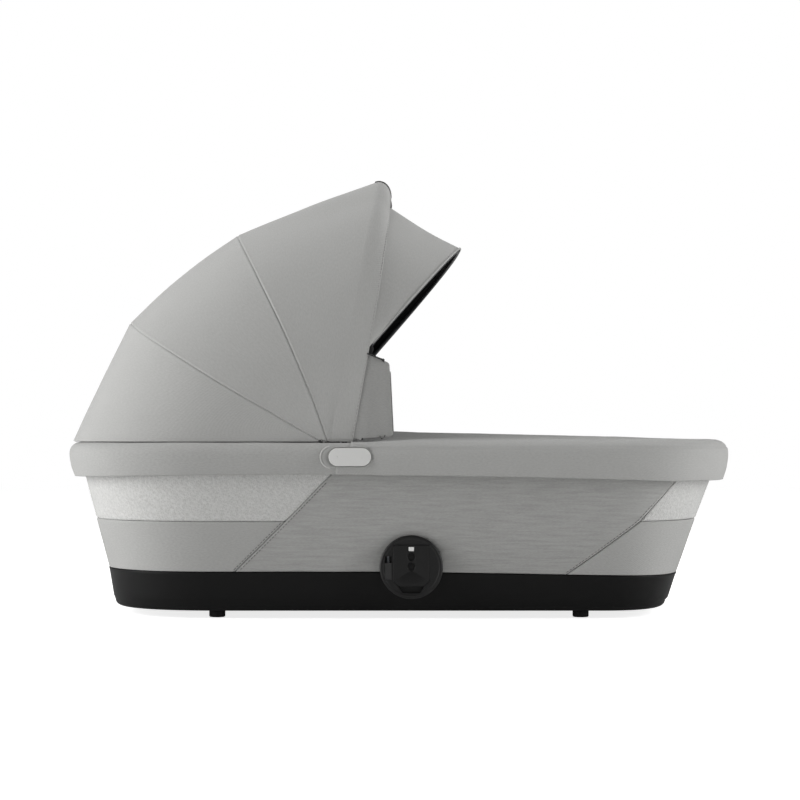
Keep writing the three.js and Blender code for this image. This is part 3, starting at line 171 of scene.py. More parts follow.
def new_finish(name, colour, roughness, **sockets):
    """A material with its own colour, roughness and other socket values, its tree and its shader."""
    finish = bpy.data.materials.new(name)
    finish.use_nodes = True
    shader = finish.node_tree.nodes["Principled BSDF"]
    shader.inputs["Base Color"].default_value = linear(colour)
    shader.inputs["Roughness"].default_value = roughness
    for socket, value in sockets.items():
        shader.inputs[socket.replace("_", " ")].default_value = value
    return finish, finish.node_tree, shader


def put(tree, kind, inputs, **settings):
    """Adds a node with its settings; inputs give each socket a value or another node's socket. Returns the
    first output that is in use."""
    made = tree.nodes.new("ShaderNode" + kind)
    for setting, value in settings.items():
        setattr(made, setting, value)
    for place, value in inputs.items():
        if isinstance(value, bpy.types.NodeSocket):
            tree.links.new(value, made.inputs[place])
        else:
            made.inputs[place].default_value = value
    return next(output for output in made.outputs if output.enabled)


def spread(tree, shader, share, low, high, relief, height):
    """Colours between two hex values by a 0-1 share, and a bump of height millimetres by a relief value."""
    tone = put(tree, "Mix", {0: share, 6: linear(low), 7: linear(high)}, data_type="RGBA")
    tree.links.new(tone, shader.inputs["Base Color"])
    raised = put(tree, "Bump", {"Strength": 1.0, "Distance": height / 1000, "Height": relief})
    tree.links.new(raised, shader.inputs["Normal"])


def moulded(name, low, high, roughness, grain, height, **sockets):
    """A moulded plastic or rubber: grain millimetres is the size of its fine texture. The grain is drawn
    about twice as coarse as real, because the real one is finer than the picture's points."""
    finish, tree, shader = new_finish(name, high, roughness, **sockets)
    place = put(tree, "TexCoord", {}).node.outputs["Object"]
    fine = put(tree, "TexNoise", {"Vector": place, "Scale": 1000 / grain, "Detail": 3.0})
    broad = put(tree, "TexNoise", {"Vector": place, "Scale": 14.0, "Detail": 2.0})
    spread(tree, shader, broad, low, high, fine, height)
    worn = put(tree, "MapRange", {0: broad, 3: roughness - 0.05, 4: roughness + 0.07})
    tree.links.new(worn, shader.inputs["Roughness"])
    return finish


# The eye sees an even soft black with a dull sheen along the wall, a little greyer where light rakes it.
black_polypropylene = moulded("black_polypropylene_moulded", "#0a0a0a", "#101010", 0.5, 1.4, 0.05,
                              Specular_IOR_Level=0.16)


def tray_edge(x):
    """The height of the tray's top edge at x: it falls towards the foot."""
    return tray_high - tray_fall * np.clip(x / tray_top[1], 0, 1)


def tray_row(rise, inset=0.0, lift=0.0, share=1.0):
    """One level of the tray: its plan between floor and top by rise, moved in by inset and up by lift."""
    xy = oval(drawn_in(tray_floor + (tray_top - tray_floor) * rise - inset, share))
    return np.column_stack([xy, tray_low + (tray_edge(xy[:, 0]) - tray_low) * rise + lift])


bend = np.radians(np.linspace(0, 90, 7))
lip = np.radians(np.linspace(0, 180, 7))
wall_shares = np.linspace(0.25, 0.9, 8)
tray_rows = [tray_row(0, floor_edge, 0, share) for share in (0, 0.5, 0.9)]
tray_rows += [tray_row(0, floor_edge * (1 - np.sin(a)), floor_edge * (1 - np.cos(a))) for a in bend]
tray_rows += [tray_row(rise) for rise in wall_shares]
tray_rows += [tray_row(1, tray_wall / 2 * (1 - np.cos(a)), tray_wall / 2 * (np.sin(a) - 1)) for a in lip]
tray_rows += [tray_row(rise, tray_wall) for rise in wall_shares[::-1]]
tray_rows += [tray_row(0, tray_wall + floor_edge * (1 - np.sin(a)), tray_wall + floor_edge * (1 - np.cos(a)))
              for a in bend[::-1]]
tray_rows += [tray_row(0, floor_edge + tray_wall, tray_wall, share) for share in (0.9, 0.5, 0)]
solid("tray_shell", np.array(tray_rows), black_polypropylene, "base", "black_plastic", "base_tray")


# Feet: four small round pads pressed into the tray's underside, moulded in black rubber.
# Their lower edge is rounded, so only a narrow dark band of each shows under the tray.

foot_radius, foot_height, foot_rounding, foot_spots = 10.0, 9.0, 2.2, (225, 130)


def eased(path, radius, steps=5):
    """The path with each inner corner replaced by the curve (1-t)**2 a + 2t(1-t) corner + t**2 b, where a
    and b lie a radius before and after the corner, or nearer where the next corner is close."""
    path = np.array(path, float)
    before, corner, after = path[:-2], path[1:-1], path[2:]

    def pulled(other):
        length = np.maximum(np.linalg.norm(other - corner, axis=1, keepdims=True), 1e-9)
        return corner + (other - corner) * np.minimum(0.48, radius / length)

    t = np.linspace(0, 1, steps)[None, :, None]
    curve = ((1 - t) ** 2 * pulled(before)[:, None] + 2 * t * (1 - t) * corner[:, None]
             + t ** 2 * pulled(after)[:, None])
    return np.concatenate([path[:1], curve.reshape(-1, path.shape[1]), path[-1:]])


def turned(profile, centre, axis, columns=48):
    """A profile of (radius, height) points turned once about an axis through centre: 1 is Y and 2 is Z."""
    angle = np.linspace(0, 2 * np.pi, columns, endpoint=False)
    radius, height = np.array(profile, float).T
    ring = np.stack([np.outer(radius, np.cos(angle)), np.outer(radius, np.sin(angle)),
                     np.repeat(height[:, None], columns, 1)], 2)
    order = [0, 1, 2] if axis == 2 else [0, 2, 1]
    return ring[:, :, order] + np.array(centre, float)


# Rubber gives a flat, dry black with no highlight.
foot_rubber = moulded("foot_rubber_moulded", "#161616", "#222222", 0.85, 0.9, 0.05)
foot_profile = eased([[0, 0], [foot_radius, 0], [foot_radius, foot_height], [0, foot_height]], foot_rounding)
for number, (end, side) in enumerate([(-1, 1), (-1, -1), (1, 1), (1, -1)], 1):
    spot = [end * foot_spots[0], side * foot_spots[1], 0]
    solid(f"foot_{number}", turned(foot_profile, spot, 2), foot_rubber, "base", "foot_rubber",
          f"foot_pad_{number}")


# Mattress board and mattress: a stiff board on the tray's floor and a foam pad in a knitted cover.
# The pad's faces are crowned, its edges are rounded and its boxing draws in a little between them.

mattress_plan = tray_floor - 15.0
mattress_low, mattress_deep, mattress_edge, mattress_crown = 16.9, 52.0, 15.0, 9.0
start_in, swell_most = 2.5, 2.5                      # the start shape is smaller, because the pad swells
voxel, pad_pressure, pad_frames = 6.0, 4.0, 20


def cushion_row(depth, inset, share, crown):
    """One level of the pad, which rises towards its middle by crown times 1 - share**2."""
    xy = oval(drawn_in(mattress_plan - inset, share), 160)
    return np.column_stack([xy, np.full(len(xy), mattress_low + depth + crown * (1 - share ** 2))])


def applied(piece):
    """The piece's mesh with its modifiers applied for good."""
    mesh = bpy.data.meshes.new_from_object(piece.evaluated_get(bpy.context.evaluated_depsgraph_get()))
    piece.modifiers.clear()
    piece.data = mesh
    return mesh


def places(mesh):
    """The mesh's points as rows of x, y and z in metres."""
    flat = np.zeros(len(mesh.vertices) * 3, np.float32)
    mesh.vertices.foreach_get("co", flat)
    return flat.reshape(-1, 3)


def refinished(finish, *nodes):
    """Gives solids that show as they are a finish of their own."""
    for node in nodes:
        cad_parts[node].data.materials.clear()
        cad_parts[node].data.materials.append(finish)


# A fine knit gives the eye small rounded loops, 2 mm apart here and finer on the real cover.
knitted_cover, tree, shader = new_finish("knitted_polyester_cover", "#dadad6", 0.9, Sheen_Weight=0.25)
place = put(tree, "TexCoord", {}).node.outputs["Object"]
loops = put(tree, "TexVoronoi", {"Vector": place, "Scale": 500.0, "Randomness": 0.25})
spread(tree, shader, loops, "#e2e2de", "#c8c8c4", loops, -0.35)

turns = np.radians(np.linspace(0, 90, 6))
cushion = [cushion_row(mattress_deep - start_in, mattress_edge, share, mattress_crown - start_in)
           for share in (0, 0.35, 0.7, 0.9)]
cushion += [cushion_row(mattress_deep - start_in - mattress_edge * (1 - np.cos(a)),
                        start_in + mattress_edge * (1 - np.sin(a)), 1, 0) for a in turns]
cushion += [cushion_row(start_in + mattress_edge * (1 - np.cos(a)),
                        start_in + mattress_edge * (1 - np.sin(a)), 1, 0) for a in turns[::-1]]
cushion += [cushion_row(0.4, mattress_edge, share, 0) for share in (0.9, 0.7, 0.35, 0)]
mattress = solid("mattress_pad", np.array(cushion), knitted_cover, "base", "mattress_fabric", "mattress")
remesh = mattress.modifiers.new("remesh", "REMESH")
remesh.mode, remesh.voxel_size = "VOXEL", voxel / 1000
rest = places(applied(mattress))
cloth = mattress.modifiers.new("cloth", "CLOTH")
cloth.settings.use_pressure = True
cloth.settings.uniform_pressure_force = pad_pressure
cloth.settings.effector_weights.gravity = 0.0
for number in range(1, pad_frames + 1):
    bpy.context.scene.frame_set(number)
puffed = applied(mattress)
bpy.context.scene.frame_set(1)
step = places(puffed) - rest
reach = np.linalg.norm(step, axis=1, keepdims=True)
capped = rest + step * np.minimum(1, swell_most / 1000 / np.maximum(reach, 1e-9))
capped[:, 2] = np.maximum(capped[:, 2], mattress_low / 1000 + 0.0002)
puffed.vertices.foreach_set("co", capped.reshape(-1))
puffed.update()
puffed.shade_smooth()
softer = mattress.modifiers.new("softer", "SUBSURF")
softer.levels = softer.render_levels = 1

# Recycled fibreboard in a dark film gives a dull, faintly mottled grey-black.
board_film = moulded("dark_film_on_board", "#1f1f1f", "#2c2c2c", 0.7, 2.0, 0.08)
refinished(board_film, "mattress_board")


# Tub cover: three kinds of cloth sewn into one wall between the tray and the rim. Light spacer mesh and
# plain twill go round the two ends, and a finely ribbed melange cloth runs along each side between
# two slanting seams, where the edges are turned in and stitched.

wall_top = np.array([405, 405, 205, 186, 180.0])
wall_top_z, mesh_line_z, cloth_thick, seam_gap = 186.0, 120.0, 2.5, 0.15
wall_clear, fold_keep = 0.3, 0.1856                  # over the tray's edge, and of the height when folded
head_seam, foot_seam = (-200, -138, -74), (205, 294, 354)
receiver_spot, receiver_hole = (15.0, 65.0), 32.5
tub_middle = (0, 0, 150)


def melange(name, light, dark, pitch=2.2, sheen=0.2):
    """Twill of mixed light and dark yarn. Yarns are 0.5 mm apart on the real cloth and pitch millimetres
    here, so that the slanting lines still show in the picture; the mix is cloudy over a few centimetres."""
    finish, tree, shader = new_finish(name, light, 0.86, Sheen_Weight=sheen, Sheen_Roughness=0.5)
    uv = put(tree, "UVMap", {}, uv_map="cloth")
    part = put(tree, "SeparateXYZ", {0: uv}).node.outputs
    slant = put(tree, "Math", {0: part["X"], 1: part["Y"]}, operation="ADD")
    phase = put(tree, "Math", {0: slant, 1: 2 * np.pi / (pitch / 1000)}, operation="MULTIPLY")
    ridge = put(tree, "Math", {0: phase}, operation="SINE")
    stretched = put(tree, "Mapping", {"Vector": uv, "Scale": (260.0, 620.0, 1.0)})
    yarn = put(tree, "TexNoise", {"Vector": stretched, "Scale": 1.0, "Detail": 3.0, "Roughness": 0.6})
    cloud = put(tree, "TexNoise", {"Vector": uv, "Scale": 22.0, "Detail": 2.0})
    mixed = put(tree, "MapRange", {0: yarn, 1: 0.3, 2: 0.7})
    both = put(tree, "Mix", {0: 0.18, 2: mixed, 3: cloud})
    relief = put(tree, "Math", {0: ridge, 1: 0.35, 2: yarn}, operation="MULTIPLY_ADD")
    spread(tree, shader, both, dark, light, relief, 0.16)
    return finish


# The twill looks like felt from afar: mid grey, cloudy, with no gloss. Its foam backing is dark.
grey_twill = melange("polyester_melange_twill", "#acacaa", "#9c9c9a")
cloth_back = melange("foam_backed_cloth_inside", "#4a4a4a", "#3a3a3a", 3.0)

# Spacer mesh is a pale grainy knit: small eyelets in slanting rows, 2.6 mm apart, and brighter loops.
pale_mesh, tree, shader = new_finish("polyester_spacer_mesh", "#bababa", 0.8, Sheen_Weight=0.15)
uv = put(tree, "UVMap", {}, uv_map="cloth")
placed = put(tree, "Mapping", {"Vector": uv, "Rotation": (0, 0, 0.62), "Scale": (520.0, 400.0, 1.0)})
cell = put(tree, "TexVoronoi", {"Vector": placed, "Scale": 1.0, "Randomness": 0.55})
fleck = put(tree, "TexNoise", {"Vector": placed, "Scale": 0.55, "Detail": 2.0})
eyelet = put(tree, "MapRange", {0: cell, 1: 0.1, 2: 0.62})
flecked = put(tree, "MapRange", {0: fleck, 1: 0.35, 2: 0.68})
share = put(tree, "Mix", {0: 0.4, 2: eyelet, 3: flecked})
spread(tree, shader, share, "#a9a9a7", "#cacac8", share, 0.35)

# The side's melange cloth has fine ripples that run along it: short uneven ridges about 4.5 mm apart.
ribbed_cloth, tree, shader = new_finish("ribbed_melange_cloth", "#a2a2a0", 0.86, Sheen_Weight=0.2,
                                        Sheen_Roughness=0.5)
uv = put(tree, "UVMap", {}, uv_map="cloth")
long = put(tree, "Mapping", {"Vector": uv, "Scale": (26.0, 235.0, 1.0)})
ripple = put(tree, "TexNoise", {"Vector": long, "Scale": 1.0, "Detail": 1.5, "Distortion": 0.4})
stretched = put(tree, "Mapping", {"Vector": uv, "Scale": (240.0, 700.0, 1.0)})
yarn = put(tree, "TexNoise", {"Vector": stretched, "Scale": 1.0, "Detail": 3.0})
mixed = put(tree, "Mix", {0: 0.5, 2: ripple, 3: yarn})
share = put(tree, "MapRange", {0: mixed, 1: 0.35, 2: 0.65})
relief = put(tree, "Math", {0: ripple, 1: 1.0, 2: yarn}, operation="MULTIPLY_ADD")
spread(tree, shader, share, "#979795", "#a8a8a6", relief, 0.4)


def half_width(plan, x):
    """Half the plan's width at x: full between the rounded ends, and (1 - t**2.5)**(1/2.5) of it within
    one."""
    head, foot, half, head_cap, foot_cap = plan
    into = np.where(x < 0, (-x - (head - head_cap)) / head_cap, (x - (foot - foot_cap)) / foot_cap)
    return half * (1 - np.clip(into, 0, 1) ** end_power) ** (1 / end_power)


def wall_plan(level):
    """The wall's plan at a level height, in line between the tray's top and the wall's."""
    return tray_top + (wall_top - tray_top) * (level - tray_high) / (wall_top_z - tray_high)


def on_wall(level, x, clear=wall_clear):
    """The height at x of the wall's line at a level. Under the mesh it sinks with the tray's edge."""
    sink = np.clip((mesh_line_z - level) / (mesh_line_z - tray_high), 0, 1)
    return level - sink * tray_fall * np.clip(x / tray_top[1], 0, 1) + clear * sink


def round_end(plan, end, start, columns):
    """The plan's outline from x = end * start on the +Y side, round the tip, to the same x on the -Y side."""
    reach, cap, half = (plan[0], plan[3], plan[2]) if end < 0 else (plan[1], plan[4], plan[2])
    curve = quarter(cap, half, end_power, 300) + [reach - cap, 0]
    straight = np.stack([np.linspace(start, max(start, reach - cap), 40), np.full(40, half)], 1)
    if start > reach - cap:
        into = (start - (reach - cap)) / cap
        first = [start, half * (1 - into ** end_power) ** (1 / end_power)]
        curve = np.concatenate([[first], curve[curve[:, 0] > start + 1e-6]])
        straight = straight[:0]
    side = np.concatenate([straight, curve])
    path = np.concatenate([side, side[::-1] * [1, -1]])
    return even(path, columns) * [end, 1]


def seam_x(seam, level):
    """Where a slanting seam is at a level height, from its place at the tray, the mesh's line and the top."""
    return np.interp(level, [tray_high, mesh_line_z, wall_top_z], seam)


def tuck(distance, depth=1.2, width=1.1):
    """How far cloth lies below its face near a seam: a narrow dip, with a slight roll just beside it."""
    return depth * np.exp(-((distance / width) ** 2)) - 0.18 * np.exp(-(((distance - 2.6) / 1.1) ** 2))


def soft_folds(u, v, length, seed, count=9):
    """Heights from -1 to 1 of soft folds: the mean of sine waves about a length long, in seeded
    directions."""
    draw = np.random.default_rng(seed)
    angle, phase, size = draw.uniform(0, 2 * np.pi, (3, count))
    wave = 2 * np.pi / (length * (0.7 + 0.1 * size))
    lean = (u[..., None] * np.cos(angle) + v[..., None] * np.sin(angle)) * wave + phase
    return np.sin(lean).sum(-1) / count * 1.6


def sewn_in(points, centre, folds, length, seed, depth_rows=(), depth_columns=()):
    """Turns the grid to face away from the centre, tucks its named edges into their seams and adds soft
    folds. An edge is -1 for the first row or column and 1 for the last."""
    if (normals(points) * (points - np.array(centre, float))).sum() < 0:
        points = points[:, ::-1]
    along, down = measured(points, 1), measured(points, 0)
    dip = np.zeros(points.shape[:2])
    for way in depth_rows:
        dip += tuck(down if way < 0 else down[-1:] - down)
    for way in depth_columns:
        dip += tuck(along if way < 0 else along[:, -1:] - along)
    dip -= folds * soft_folds(along, down, length, seed)
    return points - normals(points) * dip[..., None]


def close_to_ends(count, sharpness):
    """Shares from 0 to 1 that crowd towards both ends, where the seams are."""
    t = np.linspace(0, 1, count)
    return (1 - sharpness) * t + sharpness * (1 - np.cos(np.pi * t)) / 2


def fold_down(piece, slot_name, *nodes):
    """Fits a piece of the wall's cloth to the base, hides the solids that it stands for and gives it a mesh
    of its own.
    """
    fitted(piece, "base", slot_name, *nodes)
    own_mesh(piece)


for name, end, seam in (("head", -1, head_seam), ("foot", 1, foot_seam)):
    for part, low, high, finish, slot_name, sewn_row in (
        ("lower", tray_high, mesh_line_z - seam_gap, grey_twill, "outer_fabric", 1),
        ("mesh", mesh_line_z + seam_gap, wall_top_z, pale_mesh, "mesh_fabric", -1),
    ):
        grid = []
        for level in low + (high - low) * close_to_ends(26, 0.85):
            xy = round_end(wall_plan(level), end, end * seam_x(seam, level) + seam_gap, 200)
            grid.append(np.column_stack([xy, on_wall(level, xy[:, 0])]))
        grid = sewn_in(np.array(grid), tub_middle, 0.35, 70, 11 + end, (sewn_row,), (-1, 1))
        panel = skin(f"{name}_{part}_panel", grid, [finish, cloth_back], thick=cloth_thick)
        fold_down(panel, slot_name, f"cover_{name}_{part}")

for name, side in sides:
    grid = []
    for level in tray_high + (wall_top_z - tray_high) * close_to_ends(44, 0.5):
        first, last = seam_x(head_seam, level) + seam_gap, seam_x(foot_seam, level) - seam_gap
        x = first + (last - first) * close_to_ends(150, 0.5)
        grid.append(np.column_stack([x, side * half_width(wall_plan(level), x), on_wall(level, x)]))
    grid = sewn_in(np.array(grid), tub_middle, 0.5, 110, 21 + side, (), (-1, 1))
    from_receiver = np.hypot(grid[:, :, 0] - receiver_spot[0], grid[:, :, 2] - receiver_spot[1])
    panel = skin(f"side_panel_{name}", grid, [ribbed_cloth, cloth_back], thick=cloth_thick,
                 holes=from_receiver[:-1, :-1] < receiver_hole)
    fold_down(panel, "ribbed_fabric", f"cover_side_{name}")


# Stitching beside the slanting seams: one row of dark sewing thread on each side of the turned edges.
# Each stitch is a short rounded bar of thread, half sunk in the cloth, drawn a little thicker than real.

stitch_long, stitch_pitch, thread_radius, seam_to_row = 3.2, 4.6, 0.42, 4.0


def stitches(name, path, up, body, finish, slot_name):
    """A row of short bars along a path in millimetres: each is a tapered six-sided bar between two points of
    the path, its round section turned by up, the cloth's normal."""
    length = np.linalg.norm(np.diff(path, axis=0), axis=1).sum()
    count = int(length / stitch_pitch)
    fine = even(path, count * 8 + 1)
    middle, lift = fine[4::8][:count], even(np.array(up, float), count * 8 + 1)[4::8][:count]
    ahead = (fine[8::8][:count] - fine[0:-1:8][:count])
    ahead /= np.linalg.norm(ahead, axis=1, keepdims=True)
    across = np.cross(ahead, lift)
    across /= np.maximum(np.linalg.norm(across, axis=1, keepdims=True), 1e-9)
    square = np.cross(across, ahead)
    stretch = np.array([-0.5, -0.36, 0.36, 0.5]) * stitch_long
    width = np.array([0.35, 1, 1, 0.35]) * thread_radius
    angle = np.arange(6) * np.pi / 3
    points = (middle[:, None, None] + ahead[:, None, None] * stretch[:, None, None]
              + across[:, None, None] * (width[:, None] * np.cos(angle))[..., None]
              + square[:, None, None] * (width[:, None] * np.sin(angle))[..., None])
    ring, turn = (part.ravel() * scale for part, scale in zip(np.mgrid[:3, :6], (6, 1)))
    ahead_turn = (turn + 1) % 6
    quads = np.stack([ring + turn, ring + ahead_turn, ring + 6 + ahead_turn, ring + 6 + turn], 1)
    start = (np.arange(count) * 24)[:, None, None]
    caps = np.array([[5, 4, 3, 2, 1, 0], [18, 19, 20, 21, 22, 23]])
    faces = (start + quads).reshape(-1, 4).tolist() + (start + caps).reshape(-1, 6).tolist()
    mesh = bpy.data.meshes.new(name)
    mesh.from_pydata(points.reshape(-1, 3) / 1000, [], faces)
    work = bmesh.new()
    work.from_mesh(mesh)
    bmesh.ops.recalc_face_normals(work, faces=work.faces)
    work.to_mesh(mesh)
    work.free()
    mesh.materials.append(finish)
    piece = bpy.data.objects.new(name, mesh)
    bpy.context.scene.collection.objects.link(piece)
    return fitted(piece, body, slot_name) if body else piece


# Spun polyester thread gives small dull dashes, darker than the cloth.
dark_thread = moulded("polyester_thread_dark", "#505050", "#666666", 0.8, 0.6, 0.05)
grey_thread = moulded("polyester_thread_grey", "#8c8c8a", "#9c9c9a", 0.8, 0.6, 0.05)
for name, side in sides:
    for row_name, seam, step, last in (("head_a", head_seam, -seam_to_row, mesh_line_z - 1),
                                       ("head_b", head_seam, seam_to_row, wall_top_z - 18),
                                       ("foot_a", foot_seam, -seam_to_row, wall_top_z - 18)):
        level = np.linspace(tray_high + 2, last, 60)
        x = seam_x(seam, level) + step
        y = side * half_width(wall_plan(level[:, None]).T, x)
        row = stitches(f"seam_stitches_{row_name}_{name}", np.column_stack([x, y, on_wall(level, x, 0)]),
                       np.tile([0, side, -0.15], (60, 1)), None, dark_thread, "outer_fabric")
        fold_down(row, "outer_fabric")


# Inner lining: quilted dark cloth that hangs from the rim, lines the wall and turns in over the tray.
# Its lower edge ends beside the board. It is sewn in diamonds about 45 mm across.

lining_in, lining_thick, lining_low, quilt = 4.9, 3.0, 16.9, 45

# The quilting shows as dark dimples between soft pads.
quilted_lining, tree, shader = new_finish("quilted_polyester_lining", "#454545", 0.9, Sheen_Weight=0.2)
uv = put(tree, "UVMap", {}, uv_map="cloth")
turned_uv = put(tree, "Mapping", {"Vector": uv, "Rotation": (0, 0, np.pi / 4)})
part = put(tree, "SeparateXYZ", {0: turned_uv}).node.outputs
quilt_pace = np.pi / (quilt / 1000)
phases = [put(tree, "Math", {0: part[axis], 1: quilt_pace}, operation="MULTIPLY") for axis in "XY"]
waves = [put(tree, "Math", {0: phase}, operation="SINE") for phase in phases]
crossed = put(tree, "Math", {0: waves[0], 1: waves[1]}, operation="MULTIPLY")
pads = put(tree, "Math", {0: crossed}, operation="ABSOLUTE")
round_pads = put(tree, "Math", {0: pads, 1: 0.35}, operation="POWER")
spread(tree, shader, round_pads, "#2c2c2c", "#4c4c4c", round_pads, 2.0)


def lining_row(plan, height):
    """One level of the lining, inside the plan; height gives its z from x."""
    xy = oval(plan - lining_in, 240)
    return np.column_stack([xy, height(xy[:, 0])])


def faced_out(grid, centre):
    """The grid turned so that its faces point away from the centre, seen from above."""
    return grid[:, ::-1] if (normals(grid) * (grid - np.array(centre)))[:, :, :2].sum() < 0 else grid


def ring_of(grid):
    """The grid with its first column again at its end."""
    return np.concatenate([grid, grid[:, :1]], 1)


upper = [lining_row(wall_plan(level), lambda x: on_wall(level, x))
         for level in np.linspace(tray_high, wall_top_z, 30)]
lower = [lining_row(tray_floor + (tray_top - tray_floor) * rise,
                    lambda x: tray_low + (tray_edge(x) - tray_low) * rise)
         for rise in np.linspace((lining_low - tray_low) / (tray_high - tray_low), 1, 12)]
for name, rows in (("lining_upper", upper), ("lining_lower", lower)):
    grid = faced_out(np.array(rows), tub_middle)
    lining = skin(name, grid, [quilted_lining], wrap=True, thick=lining_thick)
    if name == "lining_upper":
        fold_down(lining, "lining_fabric", "inner_liner")
    else:
        fitted(lining, "base", "lining_fabric", "inner_liner")


# Rim: a closed aluminium tube, wrapped in a padded cloth band that turns over it to a short inner lip.
# The band is one strip of foam-backed twill, cut out where the hinge badge sits on it.

rim_plan = np.array([422, 419.4, 219.6, 200, 196.0])
hinge_x, hinge_z = -84.0, 212.0
tube_inset, tube_z, tube_radius = 15, 199.0, 8
band_low, band_top, band_arch, band_deep, band_widest, band_thick = 170.0, 216.5, 8.0, 27.5, 204.0, 3.0
band_shares = [[0.26, 0], [0.08, 0.3], [0, 0.68], [0.05, 0.84], [0.25, 0.96], [0.52, 1], [0.8, 0.965],
               [1, 0.83], [1, 0.344]]
badge_x, badge_z, frame_x = -59.0, 199.0, -63.0
frame_straight, badge_side = 18.25, 212              # half of its straight length, and the least y beside it
band_hole = 11.3


def tube(path, radius, up, columns=14, wrap=False):
    """A round skin along a path in millimetres: circles square to the path, turned by the steady vector
    up."""
    path = np.array(path, float)
    if wrap:
        ahead = np.roll(path, -1, 0) - np.roll(path, 1, 0)
    else:
        ahead = np.gradient(path, axis=0)
    ahead /= np.linalg.norm(ahead, axis=1, keepdims=True)
    across = np.cross(np.array(up, float), ahead)
    across /= np.linalg.norm(across, axis=1, keepdims=True)
    square = np.cross(ahead, across)
    angle = np.linspace(0, 2 * np.pi, columns, endpoint=False)[None, :, None]
    width = np.broadcast_to(radius, len(path))[:, None, None]
    rings = path[:, None] + width * (np.cos(angle) * across[:, None] + np.sin(angle) * square[:, None])
    if wrap:
        return np.concatenate([rings, rings[:1]])
    ends = np.repeat(path[[0, -1], None], columns, 1)
    return np.concatenate([ends[:1], rings, ends[1:]])


def metal(name, colour, dark, roughness):
    """Bare or plated metal: fine drawn lines run over it and dull it unevenly."""
    finish, tree, shader = new_finish(name, colour, roughness, Metallic=1.0)
    place = put(tree, "TexCoord", {}).node.outputs["Object"]
    drawn = put(tree, "Mapping", {"Vector": place, "Scale": (90.0, 900.0, 900.0)})
    lines = put(tree, "TexNoise", {"Vector": drawn, "Scale": 1.0, "Detail": 2.0})
    spread(tree, shader, lines, dark, colour, lines, 0.02)
    dull = put(tree, "MapRange", {0: lines, 3: roughness - 0.08, 4: roughness + 0.1})
    tree.links.new(dull, shader.inputs["Roughness"])
    return finish


# Anodised aluminium is an even satin silver; zinc-plated steel is brighter and bluer.
anodised_aluminium = metal("anodised_aluminium_tube", "#c6c8ca", "#b2b4b6", 0.36)
zinc_steel = metal("zinc_plated_steel", "#b9bdc2", "#9da1a6", 0.3)
tube_ring = oval(rim_plan - tube_inset, 260)
tube_path = np.column_stack([tube_ring, np.full(len(tube_ring), tube_z)])
solid("rim_tube_ring", tube(tube_path, tube_radius, (0, 0, 1), wrap=True), anodised_aluminium, "rim",
      "aluminium", "rim_tube")


def behind_badge(points, reach):
    """Which quads of a grid lie behind the badge: their middles are within reach of its middle line."""
    middle = (points[:-1, :-1] + points[1:, :-1] + points[:-1, 1:] + points[1:, 1:]) / 4
    beside = np.maximum(np.abs(middle[:, :, 0] - frame_x) - frame_straight, 0)
    return (np.hypot(beside, middle[:, :, 2] - badge_z) < reach) & (np.abs(middle[:, :, 1]) > badge_side)


def moved_out(section, distance):
    """The section moved to its outer side by a distance, square to its own direction."""
    ahead = np.gradient(section, axis=0)
    ahead /= np.linalg.norm(ahead, axis=1, keepdims=True)
    return section + np.stack([-ahead[:, 1], ahead[:, 0]], 1) * distance


def band_row(outline, inset, height):
    """One row of the band: the rim's outline moved in, its lower edge raised in an arch under the hinge."""
    xy = outline(rim_plan - inset)
    low = np.clip(1 - height / (band_widest - band_low), 0, 1)
    arch_up = band_arch * (1 - np.clip(np.abs(xy[:, 0] - hinge_x) / rim_plan[0], 0, 1) ** 2)
    return np.column_stack([xy, band_low + height + low * arch_up])


band_corners = np.array(band_shares) * [band_deep, band_top - band_low]
band_section = even(eased(band_corners, 9, 7), 44)
band_grid = np.array([band_row(lambda plan: oval(plan, 800), inset, height)
                      for inset, height in band_section])
if (normals(band_grid)[:12] * band_grid[:12])[..., :2].sum() < 0:
    band_grid = band_grid[:, ::-1]
band_folds = soft_folds(band_grid[:, :, 0], band_grid[:, :, 2], 90, 31)[..., None]
band_grid = band_grid + normals(band_grid) * 0.3 * band_folds
band = skin("rim_band_cloth", band_grid, [grey_twill, cloth_back], wrap=True, thick=band_thick,
            holes=behind_badge(ring_of(band_grid), band_hole))
fitted(band, "rim", "outer_fabric", "rim_band")


# Hinge badge and button: a pale stadium-shaped button in a grey frame on each side of the rim.
# Both are moulded ABS with a satin surface; the frame's rounded head-side rim catches the light, and its welt
# is painted a lighter grey than the frame as a painted highlight.

button_size, button_face, button_back, button_travel = np.array([51.0, 22.0]), 222.2, 217.7, 3.0
frame_size, frame_hole, frame_face, frame_back = (62.0, 25.5), (51.7, 22.7), 221.0, 216.0
frame_wide, frame_slope = 5.2, 0.7
welt_radius, welt_thick, welt_y = 13.2, 0.8, 220.9


def stadium(x, z, length, height, y, columns=72):
    """A stadium in a plane of constant y: two half circles joined by straight sides, evenly spaced."""
    radius = max(height / 2, 1e-4)
    reach = max(length / 2 - radius, 1e-4)
    angle = np.linspace(-np.pi / 2, np.pi / 2, 80)
    right = np.stack([reach + radius * np.cos(angle), radius * np.sin(angle)], 1)
    path = np.concatenate([right, -right, right[:1]])
    flat = even(path, columns + 1)[:-1]
    return np.column_stack([flat[:, 0] + x, np.full(columns, float(y)), flat[:, 1] + z])


